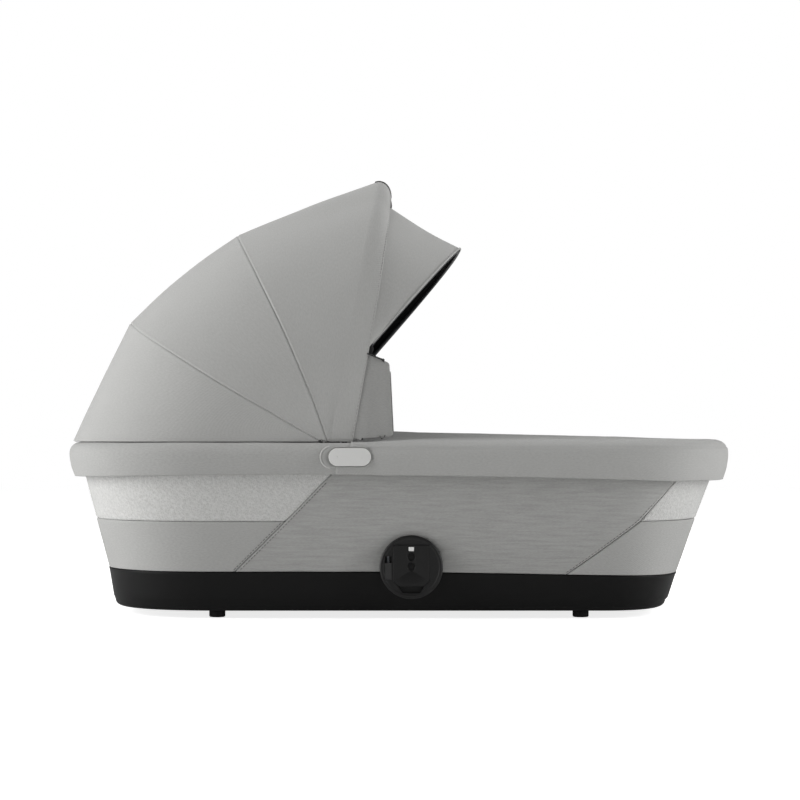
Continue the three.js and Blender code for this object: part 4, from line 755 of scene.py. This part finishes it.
# Satin ABS is pale and slightly cool, with a broad soft highlight.
pale_abs = moulded("satin_abs_pale", "#cfcfcd", "#d8d8d6", 0.42, 1.2, 0.02)
# The welt is the frame's grey ABS painted lighter: a painted highlight along its rounded rim.
welt_painted_highlight = moulded("satin_abs_painted_highlight", "#b8b8b6", "#bebebc", 0.45, 1.2, 0.02)
frame_abs = moulded("satin_abs_grey", "#a0a09e", "#acacaa", 0.5, 1.2, 0.02)
dark_nylon = moulded("glass_filled_nylon_dark", "#1d1d1d", "#292929", 0.55, 1.1, 0.05)
face_profile = eased([[0, button_back], [0, button_face], [1.6, button_face]], 1.2, 7)
button_rows = [(10.999, button_back), (6, button_back), *face_profile]
button_rows += [(inset, button_face + crown) for inset, crown in ((5, 0.12), (8, 0.2), (10.999, 0.25))]
frame_profile = eased([[0, frame_back], [0, frame_face], [frame_wide, frame_face - frame_slope]], 1.3, 7)
for name, side in sides:
    rows = [stadium(badge_x, badge_z, *(button_size - 2 * inset), side * y) for inset, y in button_rows]
    solid(f"badge_button_{name}", np.array(rows), pale_abs, f"button_{name}", "button_plastic",
          f"hinge_button_{name}")
    rows = []
    for inset, y in frame_profile:
        ring_out = stadium(frame_x, badge_z, *frame_size, side * y)
        ring_in = stadium(badge_x, badge_z, *frame_hole, side * y)
        rows.append(ring_out + (ring_in - ring_out) * min(inset / frame_wide, 1))
    rows += [stadium(badge_x, badge_z, *frame_hole, side * y) for y in (frame_face - frame_slope, frame_back)]
    rows.append(stadium(frame_x, badge_z, *frame_size, side * frame_back))
    solid(f"badge_frame_{name}", np.array(rows), frame_abs, "rim", "bezel_plastic", f"hinge_bezel_{name}")
    arc = np.radians(np.linspace(100, 262, 40))
    welt = np.column_stack([frame_x - 18.2 + welt_radius * np.cos(arc), np.full(40, side * welt_y),
                            badge_z + welt_radius * np.sin(arc)])
    solid(f"badge_welt_{name}", tube(welt, welt_thick, (0, 1, 0), 10), welt_painted_highlight, "rim", "bezel_plastic")
    refinished(dark_nylon, f"hinge_hub_{name}")
    refinished(zinc_steel, f"hinge_pin_{name}")


def coil(name, start, end, radius, wire, turns_count, node, body):
    """A compression spring from its fixed end to its moving one, along Y or Z: a helix of wire."""
    start, end = np.array(start, float), np.array(end, float)
    full = np.linalg.norm(end - start)
    axis = (end - start) / full
    first = np.array([1.0, 0, 0])
    second = np.cross(axis, first)
    t = np.linspace(0, 1, 180)
    rise = np.clip((t - 0.08) / 0.84, 0, 1)
    angle = 2 * np.pi * turns_count * t
    circle_part = np.cos(angle)[:, None] * first + np.sin(angle)[:, None] * second
    run = (end - start) - axis * wire
    path = start + axis * wire / 2 + rise[:, None] * run + (radius - wire / 2) * circle_part
    piece = solid(name, tube(path, wire / 2, axis, 8), zinc_steel, body, "steel", node)
    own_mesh(piece)


for name, side in sides:
    low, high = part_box(f"button_spring_{name}")
    ends = sorted([low.y * 1000, high.y * 1000], key=abs)
    coil(f"button_coil_{name}", (badge_x, ends[0], badge_z), (badge_x, ends[1], badge_z), 3.4, 0.8, 5,
         f"button_spring_{name}", "rim")


# Stays: a wire hoop at each end holds the rim up. Its top lies in a clip on the rim tube and its two
# lower pins run in slotted steel plates. Hoops and plates are zinc-plated, and the clips are nylon.

stay_low, stay_top, stay_power = np.array([262.0, 82.0]), np.array([386.0, 194.0]), 2.25
stay_wire, collar_half, collar_radius, stay_pin_radius, pin_overhang = 3, 3.2, 5, 2.5, 2.8


def hoop(half, leg, reach, power, start, legs=14, cap=60):
    """Half widths and lengths along a hoop: straight legs from start to leg, then a rounded top to reach."""
    side = np.column_stack([np.linspace(start, leg, legs, endpoint=False), np.full(legs, half)])
    top = even(quarter(reach - leg, half, power, 300) + [leg, 0], cap + 1)
    side = np.concatenate([side, top])
    return np.concatenate([side, side[-2::-1] * [1, -1]])


for name, end in (("head", -1), ("foot", 1)):
    pin_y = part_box(f"stay_{name}")[1].y * 1000
    stay_y = pin_y - pin_overhang - collar_half
    run, rise = stay_top - stay_low
    reach = np.hypot(run, rise)
    along, across = hoop(stay_y, 6, reach, stay_power, 0).T
    path = np.column_stack([end * (stay_low[0] + run * along / reach), across,
                            stay_low[1] + rise * along / reach])
    solid(f"stay_hoop_{name}", tube(path, stay_wire, (-end * rise, 0, run)), zinc_steel, f"stay_{name}",
          "steel", f"stay_{name}")
    tip = pin_y - stay_y
    profile = [[0, -collar_half], [collar_radius, -collar_half], [collar_radius, collar_half],
               [stay_pin_radius, collar_half], [stay_pin_radius, tip], [0, tip]]
    for side_name, side in sides:
        pin = eased(np.array(profile) + [0, stay_y], 0.5, 4) * [1, side]
        solid(f"stay_pin_{name}_{side_name}", turned(pin, (end * stay_low[0], 0, stay_low[1]), 1, 28),
              zinc_steel, f"stay_{name}", "steel")
        refinished(zinc_steel, f"stay_bracket_{name}_{side_name}")
    refinished(dark_nylon, f"stay_clip_{name}")


# Canopy bows: three round steel rods on a common pin at each side, with flat nylon-coated knuckles.
# The front one is thicker along its top, as the moulded core of the carry handle.

canopy_half, canopy_power, canopy_low = 206.0, 2.35, 217.4
rim_line = dict(angle=180, reach=334, leg=138, bend=0, lift=5.6)
rear_line = dict(angle=149.1, reach=304.6, leg=105, bend=-2.5, lift=0)
middle_line = dict(angle=114.6, reach=294.8, leg=95, bend=7.5, lift=0)
front_line = dict(angle=80, reach=340, leg=125, bend=0, lift=0)
lip_radius, hem_low, lip_first = 14.1, 27.0, -0.28
bow_reach = front_line["reach"] - lip_radius
bow_lines = {"rear": (rear_line, 298.1, 171.9), "middle": (middle_line, 288.3, 178.6),
             "front": (front_line, bow_reach, 185.3)}
bow_radius, handle_radius, handle_half = 3.2, 10.0, 92
knuckle_radius, knuckle_bore, knuckle_half = 10.0, 3.3, 3.2


def arch(line, half, reach, start, hem=(0, 0), bend=None, power=canopy_power, centre=(hinge_x, hinge_z),
         legs=22):
    """A hoop stood in the plane at its line's angle through the hinge. hem moves it forward, by its first
    number at the sides and its second at the top; bend bows the legs forward by a half sine."""
    along, across = hoop(half, line["leg"], reach, power, start, legs, 70).T
    turn = np.radians(line["angle"])
    bend = line["bend"] if bend is None else bend
    share = np.abs(across) / half
    ahead = bend * np.sin(np.pi * np.clip(along / reach, 0, 1)) + hem[1] + (hem[0] - hem[1]) * share
    return np.column_stack([
        centre[0] + along * np.cos(turn) + ahead * np.sin(turn), across,
        centre[1] + line["lift"] + along * np.sin(turn) - ahead * np.cos(turn)])


def square_to(line):
    """The direction square to a line's plane, forward and down."""
    turn = np.radians(line["angle"])
    return np.sin(turn), 0, -np.cos(turn)


def along_at(line, height, hem=0):
    """How far along a line the height is reached, where the cloth lies hem millimetres ahead of it."""
    turn = np.radians(line["angle"])
    return (height - hinge_z - line["lift"] + hem * np.cos(turn)) / np.sin(turn)


def washer(bore, radius, middle, half, side, spot, columns):
    """A flat ring with eased edges about an axis along Y through a spot."""
    low, high = middle - half, middle + half
    profile = eased([[bore, low], [radius, low], [radius, high], [bore, high], [bore, low]], 0.6, 4)
    return turned(profile * [1, side], (spot[0], 0, spot[1]), 1, columns)


# The steel is powder-coated in dark grey, so it reads as a soft satin line inside the canopy.
coated_steel = moulded("powder_coated_steel", "#3a3b3c", "#4a4b4c", 0.45, 1.0, 0.04, Specular_IOR_Level=0.6)
for name, (line, reach, half) in bow_lines.items():
    path = arch(line, half, reach, knuckle_radius * 0.6, bend=0)
    thick = np.full(len(path), bow_radius)
    if name == "front":
        edge = np.clip((handle_half - np.abs(path[:, 1])) / 3, 0, 1)
        thick = thick + (handle_radius - bow_radius) * np.sqrt(edge * (2 - edge))
    solid(f"bow_rod_{name}", tube(path, thick, square_to(line), 20), coated_steel, f"bow_{name}",
          "dark_plastic" if name == "front" else "steel", f"bow_{name}")
    for side_name, side in sides:
        ring = washer(knuckle_bore, knuckle_radius, half, knuckle_half, side, (hinge_x, hinge_z), 48)
        solid(f"bow_knuckle_{name}_{side_name}", ring, dark_nylon, f"bow_{name}", "dark_plastic")


# Canopy: three panels of soft foam-backed twill, sewn to each other over the bows. The seams are turned in
# and run down to the hinge, and the cloth is taut between the bows. The inside is lined in dark cloth.

panel_rows, swell = 56, {"rear": 1.0, "middle": 5.5, "front": 3.0}
seam_reach, seam_lap, middle_slack = 150, 1.003, 1.5
lip_turn = 105                                       # degrees from the top of the handle to the hem
flat_share, flat_end, flat_fade = 0.85, 125, 55      # how the stiff handle keeps the arch from falling


def cloth_arch(line, start, **more):
    """The cloth's arch over a bow."""
    return arch(line, canopy_half, line["reach"], start, **more)


def between(first, second, puff, last=1.0):
    """Rows of cloth stretched from one arch to the next, puffed out from the hinge by a half sine that is
    greatest at the top and nothing at the sides."""
    place = last * close_to_ends(panel_rows, 0.85)
    grid = first + (second - first) * place[:, None, None]
    radial = grid - [hinge_x, 0, hinge_z]
    radial[:, :, 1] = 0
    radial /= np.maximum(np.linalg.norm(radial, axis=2, keepdims=True), 1e-9)
    crown = np.maximum(0, 1 - (grid[:, :, 1:2] / canopy_half) ** 2)
    return grid + radial * puff * np.sin(np.pi * place)[:, None, None] * crown


def ramp(value, start, width):
    """0 before start and 1 from start + width on, and 3t**2 - 2t**3 between them."""
    t = np.clip((value - start) / width, 0, 1)
    return t ** 2 * (3 - 2 * t)


def lip_row(share, out=0.0, start=None):
    """The cloth's row where it has turned by a share of its way down round the handle to the front hem, or
    a row that lies out millimetres over it. Over the stiff handle the arch is flatter than beside it."""
    turn = np.radians(lip_turn * share)
    low = hem_low * max(0, (share - lip_first) / (1 - lip_first))
    radius = lip_radius + out
    start = along_at(front_line, canopy_low, low) if start is None else start
    row = arch(front_line, canopy_half + out, bow_reach + radius * np.cos(turn), start,
               (low, radius * np.sin(turn)))
    lean = np.radians(front_line["angle"])
    upward = np.array([np.cos(lean), 0, np.sin(lean)])
    fall = (row[len(row) // 2] - row) @ upward
    return row + upward * (flat_share * fall * ramp(np.abs(row[:, 1]), flat_end, -flat_fade))[:, None]


rim_arch = cloth_arch(rim_line, 5)
rear_arch = cloth_arch(rear_line, along_at(rear_line, canopy_low))
middle_arch = cloth_arch(dict(middle_line, reach=middle_line["reach"] + middle_slack),
                         along_at(middle_line, canopy_low))
lip_rows = np.array([lip_row(share) for share in np.linspace(lip_first, 1, 26)])
front_cloth = np.concatenate([between(middle_arch, lip_rows[0], swell["front"]), lip_rows[1:]])
canopy_panels = {
    "rear": (between(rim_arch, rear_arch, swell["rear"], seam_lap), (1,), (rim_line, rear_line),
             ("rim", "bow_rear")),
    "middle": (between(rear_arch, middle_arch, swell["middle"], seam_lap), (-1, 1), (rear_line, middle_line),
               ("bow_rear", "bow_middle")),
    "front": (front_cloth, (-1,), (middle_line, front_line), ("bow_middle", "bow_front")),
}

# A softer, closer twill than the band's: even mid grey outside, and near-black where one looks in.
canopy_twill = melange("softshell_twill_outer", "#acacaa", "#a0a09e", 1.9, sheen=0.25)
canopy_lining = melange("canopy_lining_dark", "#333333", "#262626", 2.4)


def turn_between(piece):
    """Bakes the piece's placement into its mesh."""
    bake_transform(piece)


for number, (name, (grid, seams, lines, bodies)) in enumerate(canopy_panels.items()):
    grid = sewn_in(grid, (hinge_x, 0, hinge_z), 0.45, 95, 41 + number, seams)
    panel = skin(f"canopy_{name}", grid, [canopy_twill, canopy_lining], thick=cloth_thick)
    turn_between(panel)
    fitted(panel, None, "outer_fabric", f"canopy_panel_{name}")

hem_row = lip_row(0.93)
around = np.cross(np.gradient(hem_row, axis=0), hem_row - lip_row(0.88))
stitches("hem_stitches", hem_row, around, "bow_front", grey_thread, "outer_fabric")


# Carry handle wrap: black leatherette glued and sewn over the cloth along the canopy's front edge.
# Its two ends are square-cut and a line of stitches runs along its lower edge.

grip_half, grip_thick, grip_out = 62.0, 1.9, 2.0

# Embossed polyurethane gives pebbles about 1.6 mm across here, finer on the real wrap, with a satin shine.
leatherette, tree, shader = new_finish("embossed_leatherette", "#2e2c2a", 0.5, Coat_Weight=0.1)
place = put(tree, "TexCoord", {}).node.outputs["Object"]
pebble = put(tree, "TexVoronoi", {"Vector": place, "Scale": 620.0}, feature="SMOOTH_F1")
crease = put(tree, "TexNoise", {"Vector": place, "Scale": 90.0, "Detail": 3.0})
mixed = put(tree, "Mix", {0: 0.35, 2: pebble, 3: crease})
spread(tree, shader, mixed, "#383533", "#211f1e", mixed, -0.25)


def grip_row(share):
    """The canopy's row there, moved out by the wrap's thickness and cut to its length."""
    row = lip_row(share, grip_out, 100)
    place = np.linspace(grip_half, -grip_half, 60)
    return np.column_stack([np.interp(place, row[::-1, 1], row[::-1, axis]) for axis in range(3)])


def rounded(piece, width, segments, angle=np.radians(30)):
    """Rounds a piece's edges that are sharper than an angle, by a width in millimetres."""
    edge = piece.modifiers.new("edge", "BEVEL")
    edge.width, edge.segments, edge.limit_method, edge.angle_limit = width / 1000, segments, "ANGLE", angle


grip_grid = np.array([grip_row(share) for share in np.linspace(lip_first, 1, 26)])
grip_grid = sewn_in(grip_grid, (hinge_x + 57, 0, hinge_z + 321), 0.12, 26, 51)
grip = skin("handle_wrap", grip_grid, [leatherette], thick=grip_thick)
rounded(grip, 0.6, 2)
fitted(grip, "bow_front", "grip_leather", "handle_grip")
row = grip_row(0.9)
around = np.cross(np.gradient(row, axis=0), row - grip_row(0.85))
stitches("handle_stitches", row, around, "bow_front", grey_thread, "grip_leather")


# Wings: a shaped piece of the same twill on each side in front of the canopy, tucked under its front hem.
# It bulges in one soft upright fold, and its twill is painted a shade darker than the canopy's, as painted
# shade.

wing_under, wing_flush, wing_thick, wing_tuck = 201.2, 205.0, 2.4, 8.0
wing_corner_high, wing_corner_low = 5.5, 5.0
wing_low, wing_low_rise, wing_high, wing_high_fall = 220.8, 2.4, 325.5, 11.0
wing_front, wing_lean = -7, 4.5
# The wing's twill is the canopy's melange painted a shade darker: painted shade, not a different cloth.
wing_twill = melange("softshell_twill_painted_shade", "#9c9c9a", "#91918f", 1.9, sheen=0.25)


def hem_x(height):
    """Where the canopy's front hem is at a height, on its side."""
    turn = np.radians(front_line["angle"])
    return hinge_x + along_at(front_line, height, hem_low) * np.cos(turn) + hem_low * np.sin(turn)


def cut_corner(depth, radius):
    """How far a rounded corner keeps back from the straight edge, by the depth from the corner's end."""
    into = np.clip(1 - depth / radius, 0, 1)
    return radius * (1 - np.sqrt(1 - into ** 2))


wing_u, wing_v = np.meshgrid(close_to_ends(64, 0.4), close_to_ends(120, 1.0))
wing_base = wing_low + wing_low_rise * wing_u
wing_top = wing_high - wing_high_fall * wing_u
wing_z = wing_base + (wing_top - wing_base) * wing_v
wing_edge = wing_front - wing_lean * wing_v - cut_corner(wing_top - wing_z, wing_corner_high)
wing_edge = wing_edge - cut_corner(wing_z - wing_base, wing_corner_low)
wing_x = (hem_x(wing_z) - wing_tuck) * (1 - wing_u) + wing_edge * wing_u
fold = 1.4 * np.exp(-(((wing_u - 0.4) / 0.17) ** 2)) * (1 - wing_v)
turned_in = 1.2 * np.clip((wing_u - 0.85) / 0.15, 0, 1) ** 2
wing_y = wing_under + (wing_flush - wing_under) * ramp(wing_u, 0.03, 0.1) + fold - turned_in
for name, side in sides:
    grid = sewn_in(np.stack([wing_x, side * wing_y, wing_z], 2), (-40, 0, 250), 0.25, 60, 61 + side)
    wing = skin(f"wing_{name}", grid, [wing_twill, canopy_lining], thick=wing_thick)
    fitted(wing, "bow_front", "outer_fabric", f"canopy_wing_{name}")


# Visor: a thin steel bow on two brackets of the front bow, with a single layer of twill stretched back to
# the canopy's hem. It is lined in near-black cloth, which shows where the far side is seen from inside.

visor_spot, visor_line = (-38.0, 330.0), dict(angle=49, reach=175, leg=30, bend=0, lift=0)
visor_power, visor_bow_y, visor_thick, visor_skin = 2.3, 189.1, 1.6, 4.8
visor_longer, visor_sag = 3.5, 3.0                   # soft cloth beyond the bow, and its dip between the two
visor_radius, piping_radius = 2.2, 1.3
root_in, root_start, root_hem = 2.8, 118, (22, 9.7)
visor_root = arch(front_line, canopy_half - root_in, bow_reach - 6 - root_in, root_start, root_hem, legs=4)
visor_edge = arch(visor_line, visor_bow_y + visor_skin, visor_line["reach"] + visor_longer, 8.6,
                  power=visor_power, centre=visor_spot, legs=4)
place = close_to_ends(40, 0.6)[:, None, None]
visor_grid = visor_root + (visor_edge - visor_root) * place
visor_crown = np.maximum(0, 1 - (visor_grid[:, :, 1:2] / canopy_half) ** 2)
visor_grid = visor_grid - np.array([0.45, 0, 0.9]) * visor_sag * np.sin(np.pi * place) * visor_crown
visor_grid = sewn_in(visor_grid, (visor_spot[0], 0, visor_spot[1] - 40), 0.5, 80, 71)

# The visor's twill is a little lighter than the canopy's, and its lining is the darkest cloth of all.
visor_twill = melange("visor_twill_light", "#aeaeac", "#a2a2a0", 1.9)
near_black_lining = melange("visor_lining_near_black", "#232323", "#181818", 2.4)
visor = skin("visor_cloth", visor_grid, [visor_twill, near_black_lining], thick=visor_thick)
turn_between(visor)
fitted(visor, None, "outer_fabric", "visor_fabric")

edge_path = arch(visor_line, visor_bow_y, visor_line["reach"] + visor_longer - visor_skin, 5,
                 power=visor_power, centre=visor_spot, legs=8)
solid("visor_rod", tube(edge_path, visor_radius, square_to(visor_line), 16), coated_steel, "visor", "steel",
      "visor_bow")
solid("visor_piping", tube(visor_edge, piping_radius, square_to(visor_line), 12), visor_twill, "visor",
      "outer_fabric")
for name, side in sides:
    solid(f"visor_boss_{name}", washer(1.9, 7, visor_bow_y, 2, side, visor_spot, 40), dark_nylon, "visor",
          "dark_plastic")
    refinished(dark_nylon, f"visor_bracket_{name}")


# Apron: a cover of the same twill over the foot half. Its skirt hangs outside the rim band, and a sewn
# ridge runs along the top of the skirt, from the badge round the foot and back.

apron_front, apron_thick, apron_hole, skirt_gap = -13.0, 2.2, 11.6, 0.4
crown_front, crown_foot, ridge_high = 229.0, 219.5, 40.5
skirt_out = skirt_gap + apron_thick
apron_columns, edge_thinner, edge_reach = 470, 1.9, 30
skirt = moved_out(np.array(band_shares)[:6] * [band_deep, band_top - band_low], skirt_out)
skirt = even(eased(skirt, 8, 7), 40)
tab_low, tab_high = -76.0, -58.0                     # the skirt's reach round the badge, under and over it
tab_from, tab_rise = 38, 4                           # the height at which the one turns into the other
ear_share = 0.7                                      # of the half width, within which is the front edge
apron_rows = []
for inset, height in skirt:
    start = tab_low + (tab_high - tab_low) * np.clip((height - tab_from) / tab_rise, 0, 1)
    apron_rows.append(band_row(lambda plan: round_end(plan, 1, start, apron_columns), inset, height))
top_plan = rim_plan - band_shares[5][0] * band_deep
leg = top_plan[1] - top_plan[4]
edge_z = band_top + skirt_out
for share in 1 - close_to_ends(40, 0.3)[1:]:
    start = apron_front + (tab_high - apron_front) * ramp(share, ear_share, 0.1)
    x, y = round_end(top_plan, 1, start, apron_columns).T
    x = np.where(x > leg, leg + (x - leg) * share, x)
    toward_foot = np.clip((x - apron_front) / (rim_plan[1] - apron_front), 0, 1)
    crown = crown_front + (crown_foot - crown_front) * toward_foot
    apron_rows.append(np.column_stack([x, y * share, crown + (edge_z - crown) * share ** 2]))
apron_grid = sewn_in(np.array(apron_rows), (150, 0, 100), 0.5, 100, 81)
down = measured(apron_grid, 0)
from_ridge = down - down[int(np.argmin(np.abs(skirt[:, 1] - ridge_high)))][None]
dip = 0.6 * np.exp(-((from_ridge / 1.2) ** 2)) - 0.35 * np.exp(-(((from_ridge + 3) / 1.6) ** 2))
dip = dip + edge_thinner * ramp(apron_grid[:, :, 0], apron_front, -edge_reach)
apron_grid = apron_grid - normals(apron_grid) * dip[..., None]
apron = skin("apron_cloth", apron_grid, [canopy_twill, canopy_lining], thick=apron_thick,
             holes=behind_badge(apron_grid, apron_hole))
fitted(apron, "rim", "outer_fabric", "apron")


# Receivers: a round black housing on each side of the tub, riveted through to the tray, that takes the
# chassis adapter from below. Glass-filled nylon, with a chamfered inner plate, a channel and two rivets.

face_y, back_y, seat_y, socket_y = 191.0, 178.0, 187.2, 180.2
plate_low, plate_high, plate_gap, beyond = 187.5, 190.5, 0.3, 230
rivet_heights, rivet_hole, rivet_sink = (77.5, 66), 2.1, 4.6
window_half, window_z, window_high = 3.5, 87, 2.75


def prism(outline, y0, y1, side):
    """A closed block from an outline of (x, z) corners about the receiver's axis, drawn along Y between
    y0 and y1 of a side."""
    outline = np.array(outline, float) + [receiver_spot[0], 0]
    y0, y1 = side * y0, side * y1
    ring0 = np.column_stack([outline[:, 0], np.full(len(outline), float(y0)), outline[:, 1]])
    mid = outline.mean(0)
    centre0 = np.tile([mid[0], y0, mid[1]], (len(outline), 1))
    along_y = [0, y1 - y0, 0]
    return np.array([centre0, ring0, ring0 + along_y, centre0 + along_y])


def block(half, low, high):
    """A rectangle of (x, z) corners about the receiver's upright middle line."""
    return [[-half, low], [half, low], [half, high], [-half, high]]


def plate_outline(gap, side_gap, corner_gap):
    """The inner plate's corners: a rectangle 44 by 50 mm whose two lower corners are cut off."""
    half, low = 22 + gap, 42 - gap
    return [[-half, 48 - corner_gap], [-16 - side_gap, low], [16 + side_gap, low], [half, 48 - corner_gap],
            [half, 92 + gap], [-half, 92 + gap]]


def circle(z, radius):
    """A ring of 28 (x, z) points on the receiver's upright middle line."""
    angle = np.linspace(0, 2 * np.pi, 28, endpoint=False)
    return np.column_stack([radius * np.cos(angle), z + radius * np.sin(angle)])


def cut_away(body, cuts, side):
    """Takes blocks out of a body for good, and marks its edges of over 35 degrees sharp."""
    cutters = [skin(f"cutter_{number}", prism(*cut, side), [], wrap=True, closed=True)
               for number, cut in enumerate(cuts)]
    for cutter in cutters:
        step = body.modifiers.new("cut", "BOOLEAN")
        step.operation, step.solver, step.object = "DIFFERENCE", "EXACT", cutter
    mesh = applied(body)
    for cutter in cutters:
        bpy.data.objects.remove(cutter)
    mesh.shade_smooth()
    mesh.set_sharp_from_angle(angle=np.radians(35))


# Spark-eroded nylon is a deep matt black; only the turned rim and the plate's chamfer catch the light.
black_nylon = moulded("glass_filled_nylon_black", "#0c0c0c", "#121212", 0.45, 1.2, 0.05,
                      Specular_IOR_Level=0.35)
black_steel = moulded("phosphated_steel", "#0d0d0d", "#161616", 0.4, 1.0, 0.03, Metallic=0.6)
clear_window = moulded("polycarbonate_window", "#dadad8", "#e6e6e4", 0.25, 2.0, 0.01, Coat_Weight=0.3)
housing_profile = [[0, back_y], [25, back_y], [38.5, face_y - 9], [38.5, face_y - 1.2], [36.9, face_y],
                   [34.6, face_y], [33.6, face_y - 0.7], [0, face_y - 0.7]]
mouth = [[-16.5, 42], [-10.5, 33], [10.5, 33], [16.5, 42]]
side_slot = np.array([[-17.3, 49.7], [-8.7, 49.7], [-8.7, 78.3], [-17.3, 78.3]]) - [receiver_spot[0], 0]
housing_cuts = [(block(14.5, 0, 60), socket_y, seat_y + 0.3), (mouth, socket_y, beyond),
                (side_slot, 182, beyond), (plate_outline(plate_gap, 0.1, 0.1), seat_y, beyond)]
housing_cuts += [(circle(z, rivet_hole), 170, 190) for z in rivet_heights]
face_cuts = [(circle(z, rivet_sink), 180, 200) for z in rivet_heights]
face_cuts.append((block(window_half, window_z - window_high, window_z + window_high), 180, 200))
for name, side in sides:
    profile = eased(housing_profile, 0.7, 4) * [1, side]
    shape = turned(profile, (receiver_spot[0], 0, receiver_spot[1]), 1, 96)
    housing = solid(f"receiver_housing_{name}", shape, black_nylon, "base", "black_plastic",
                    f"receiver_{name}")
    cut_away(housing, housing_cuts, side)
    rounded(housing, 0.5, 2, np.radians(40))
    face = solid(f"receiver_face_{name}", prism(plate_outline(0, 0, 0), plate_low, plate_high, side),
                 black_nylon, "base", "black_plastic", f"receiver_plate_{name}")
    cut_away(face, face_cuts, side)
    rounded(face, 0.9, 3, np.radians(40))
    refinished(black_steel, f"receiver_backplate_{name}")
    refinished(dark_nylon, f"latch_{name}")
    refinished(clear_window, f"lock_window_{name}")
    low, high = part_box(f"latch_spring_{name}")
    middle_x, middle_y = (low.x + high.x) * 500, (low.y + high.y) * 500
    coil(f"latch_coil_{name}", (middle_x, middle_y, high.z * 1000), (middle_x, middle_y, low.z * 1000),
         (high.x - low.x) * 500, 0.6, 6, f"latch_spring_{name}", "base")


# Studio: a plain pale floor and wide soft lamps from both ends and above, with a white surround.
# The near side is left to the surround, so it is the darkest part of the cloth, as in a light tent.

floor_half, floor_z, floor_glow, tent_glow = 6, -0.0005, 0.8, 0.2

# Painted board gives an even, near-white ground that keeps the object's shadow.
corners = [(x * floor_half, y * floor_half, floor_z) for x, y in ((-1, -1), (1, -1), (1, 1), (-1, 1))]
floor_mesh = bpy.data.meshes.new("studio_floor")
floor_mesh.from_pydata(corners, [], [(0, 1, 2, 3)])
floor = bpy.data.objects.new("studio_floor", floor_mesh)
bpy.context.scene.collection.objects.link(floor)
floor_finish, tree, shader = new_finish("pale_studio_floor", "#f4f4f4", 0.9)
seen = put(tree, "LightPath", {}).node.outputs["Is Camera Ray"]
glow = put(tree, "Math", {0: seen, 1: floor_glow}, operation="MULTIPLY")
shader.inputs["Emission Color"].default_value = (1, 1, 1, 1)
tree.links.new(glow, shader.inputs["Emission Strength"])
floor_mesh.materials.append(floor_finish)

world = bpy.data.worlds.new("light_tent")
bpy.context.scene.world = world
world.use_nodes = True
tree = world.node_tree
background = tree.nodes["Background"]
background.inputs["Color"].default_value = (1, 1, 1, 1)
rays = put(tree, "LightPath", {}).node.outputs
plain = put(tree, "Math", {0: rays["Is Camera Ray"], 1: rays["Is Transmission Ray"]}, operation="MAXIMUM")
level = put(tree, "MapRange", {0: plain, 3: tent_glow, 4: 1.0})
tree.links.new(level, background.inputs["Strength"])


def lamp(name, spot, target, size, power):
    """A soft rectangular lamp of a size in metres and a power in watts, turned to its target."""
    light = bpy.data.lights.new(name, "AREA")
    light.shape, light.size, light.size_y, light.energy = "RECTANGLE", size[0], size[1], power
    holder = bpy.data.objects.new(name, light)
    bpy.context.scene.collection.objects.link(holder)
    holder.location = spot
    way = np.array(target, float) - np.array(spot, float)
    pitch = np.arctan2(np.hypot(way[0], way[1]), -way[2])
    holder.rotation_euler = (pitch, 0, np.arctan2(-way[0], way[1]))


lamp("left_softbox", (-2.3, -0.7, 0.85), (0, 0, 0.25), (1.4, 1.8), 52)
lamp("right_softbox", (2.3, -0.7, 0.8), (0, 0, 0.25), (1.4, 1.8), 38)
lamp("top_softbox", (0, 0.3, 2.4), (0, 0, 0.2), (2.4, 1.6), 18)

# The camera looks at the near side from 3 m, level with the upper half of the tub.
camera = bpy.data.objects.new("camera", bpy.data.cameras.new("camera"))
bpy.context.scene.collection.objects.link(camera)
camera.location = (0.0013, -3.0, 0.236)
camera.rotation_euler = (np.radians(90.65), 0, 0)
camera.data.sensor_width = 36
camera.data.lens = 104.15
camera.data.clip_end = 50
bpy.context.scene.camera = camera
bpy.context.scene.view_settings.view_transform = "Standard"
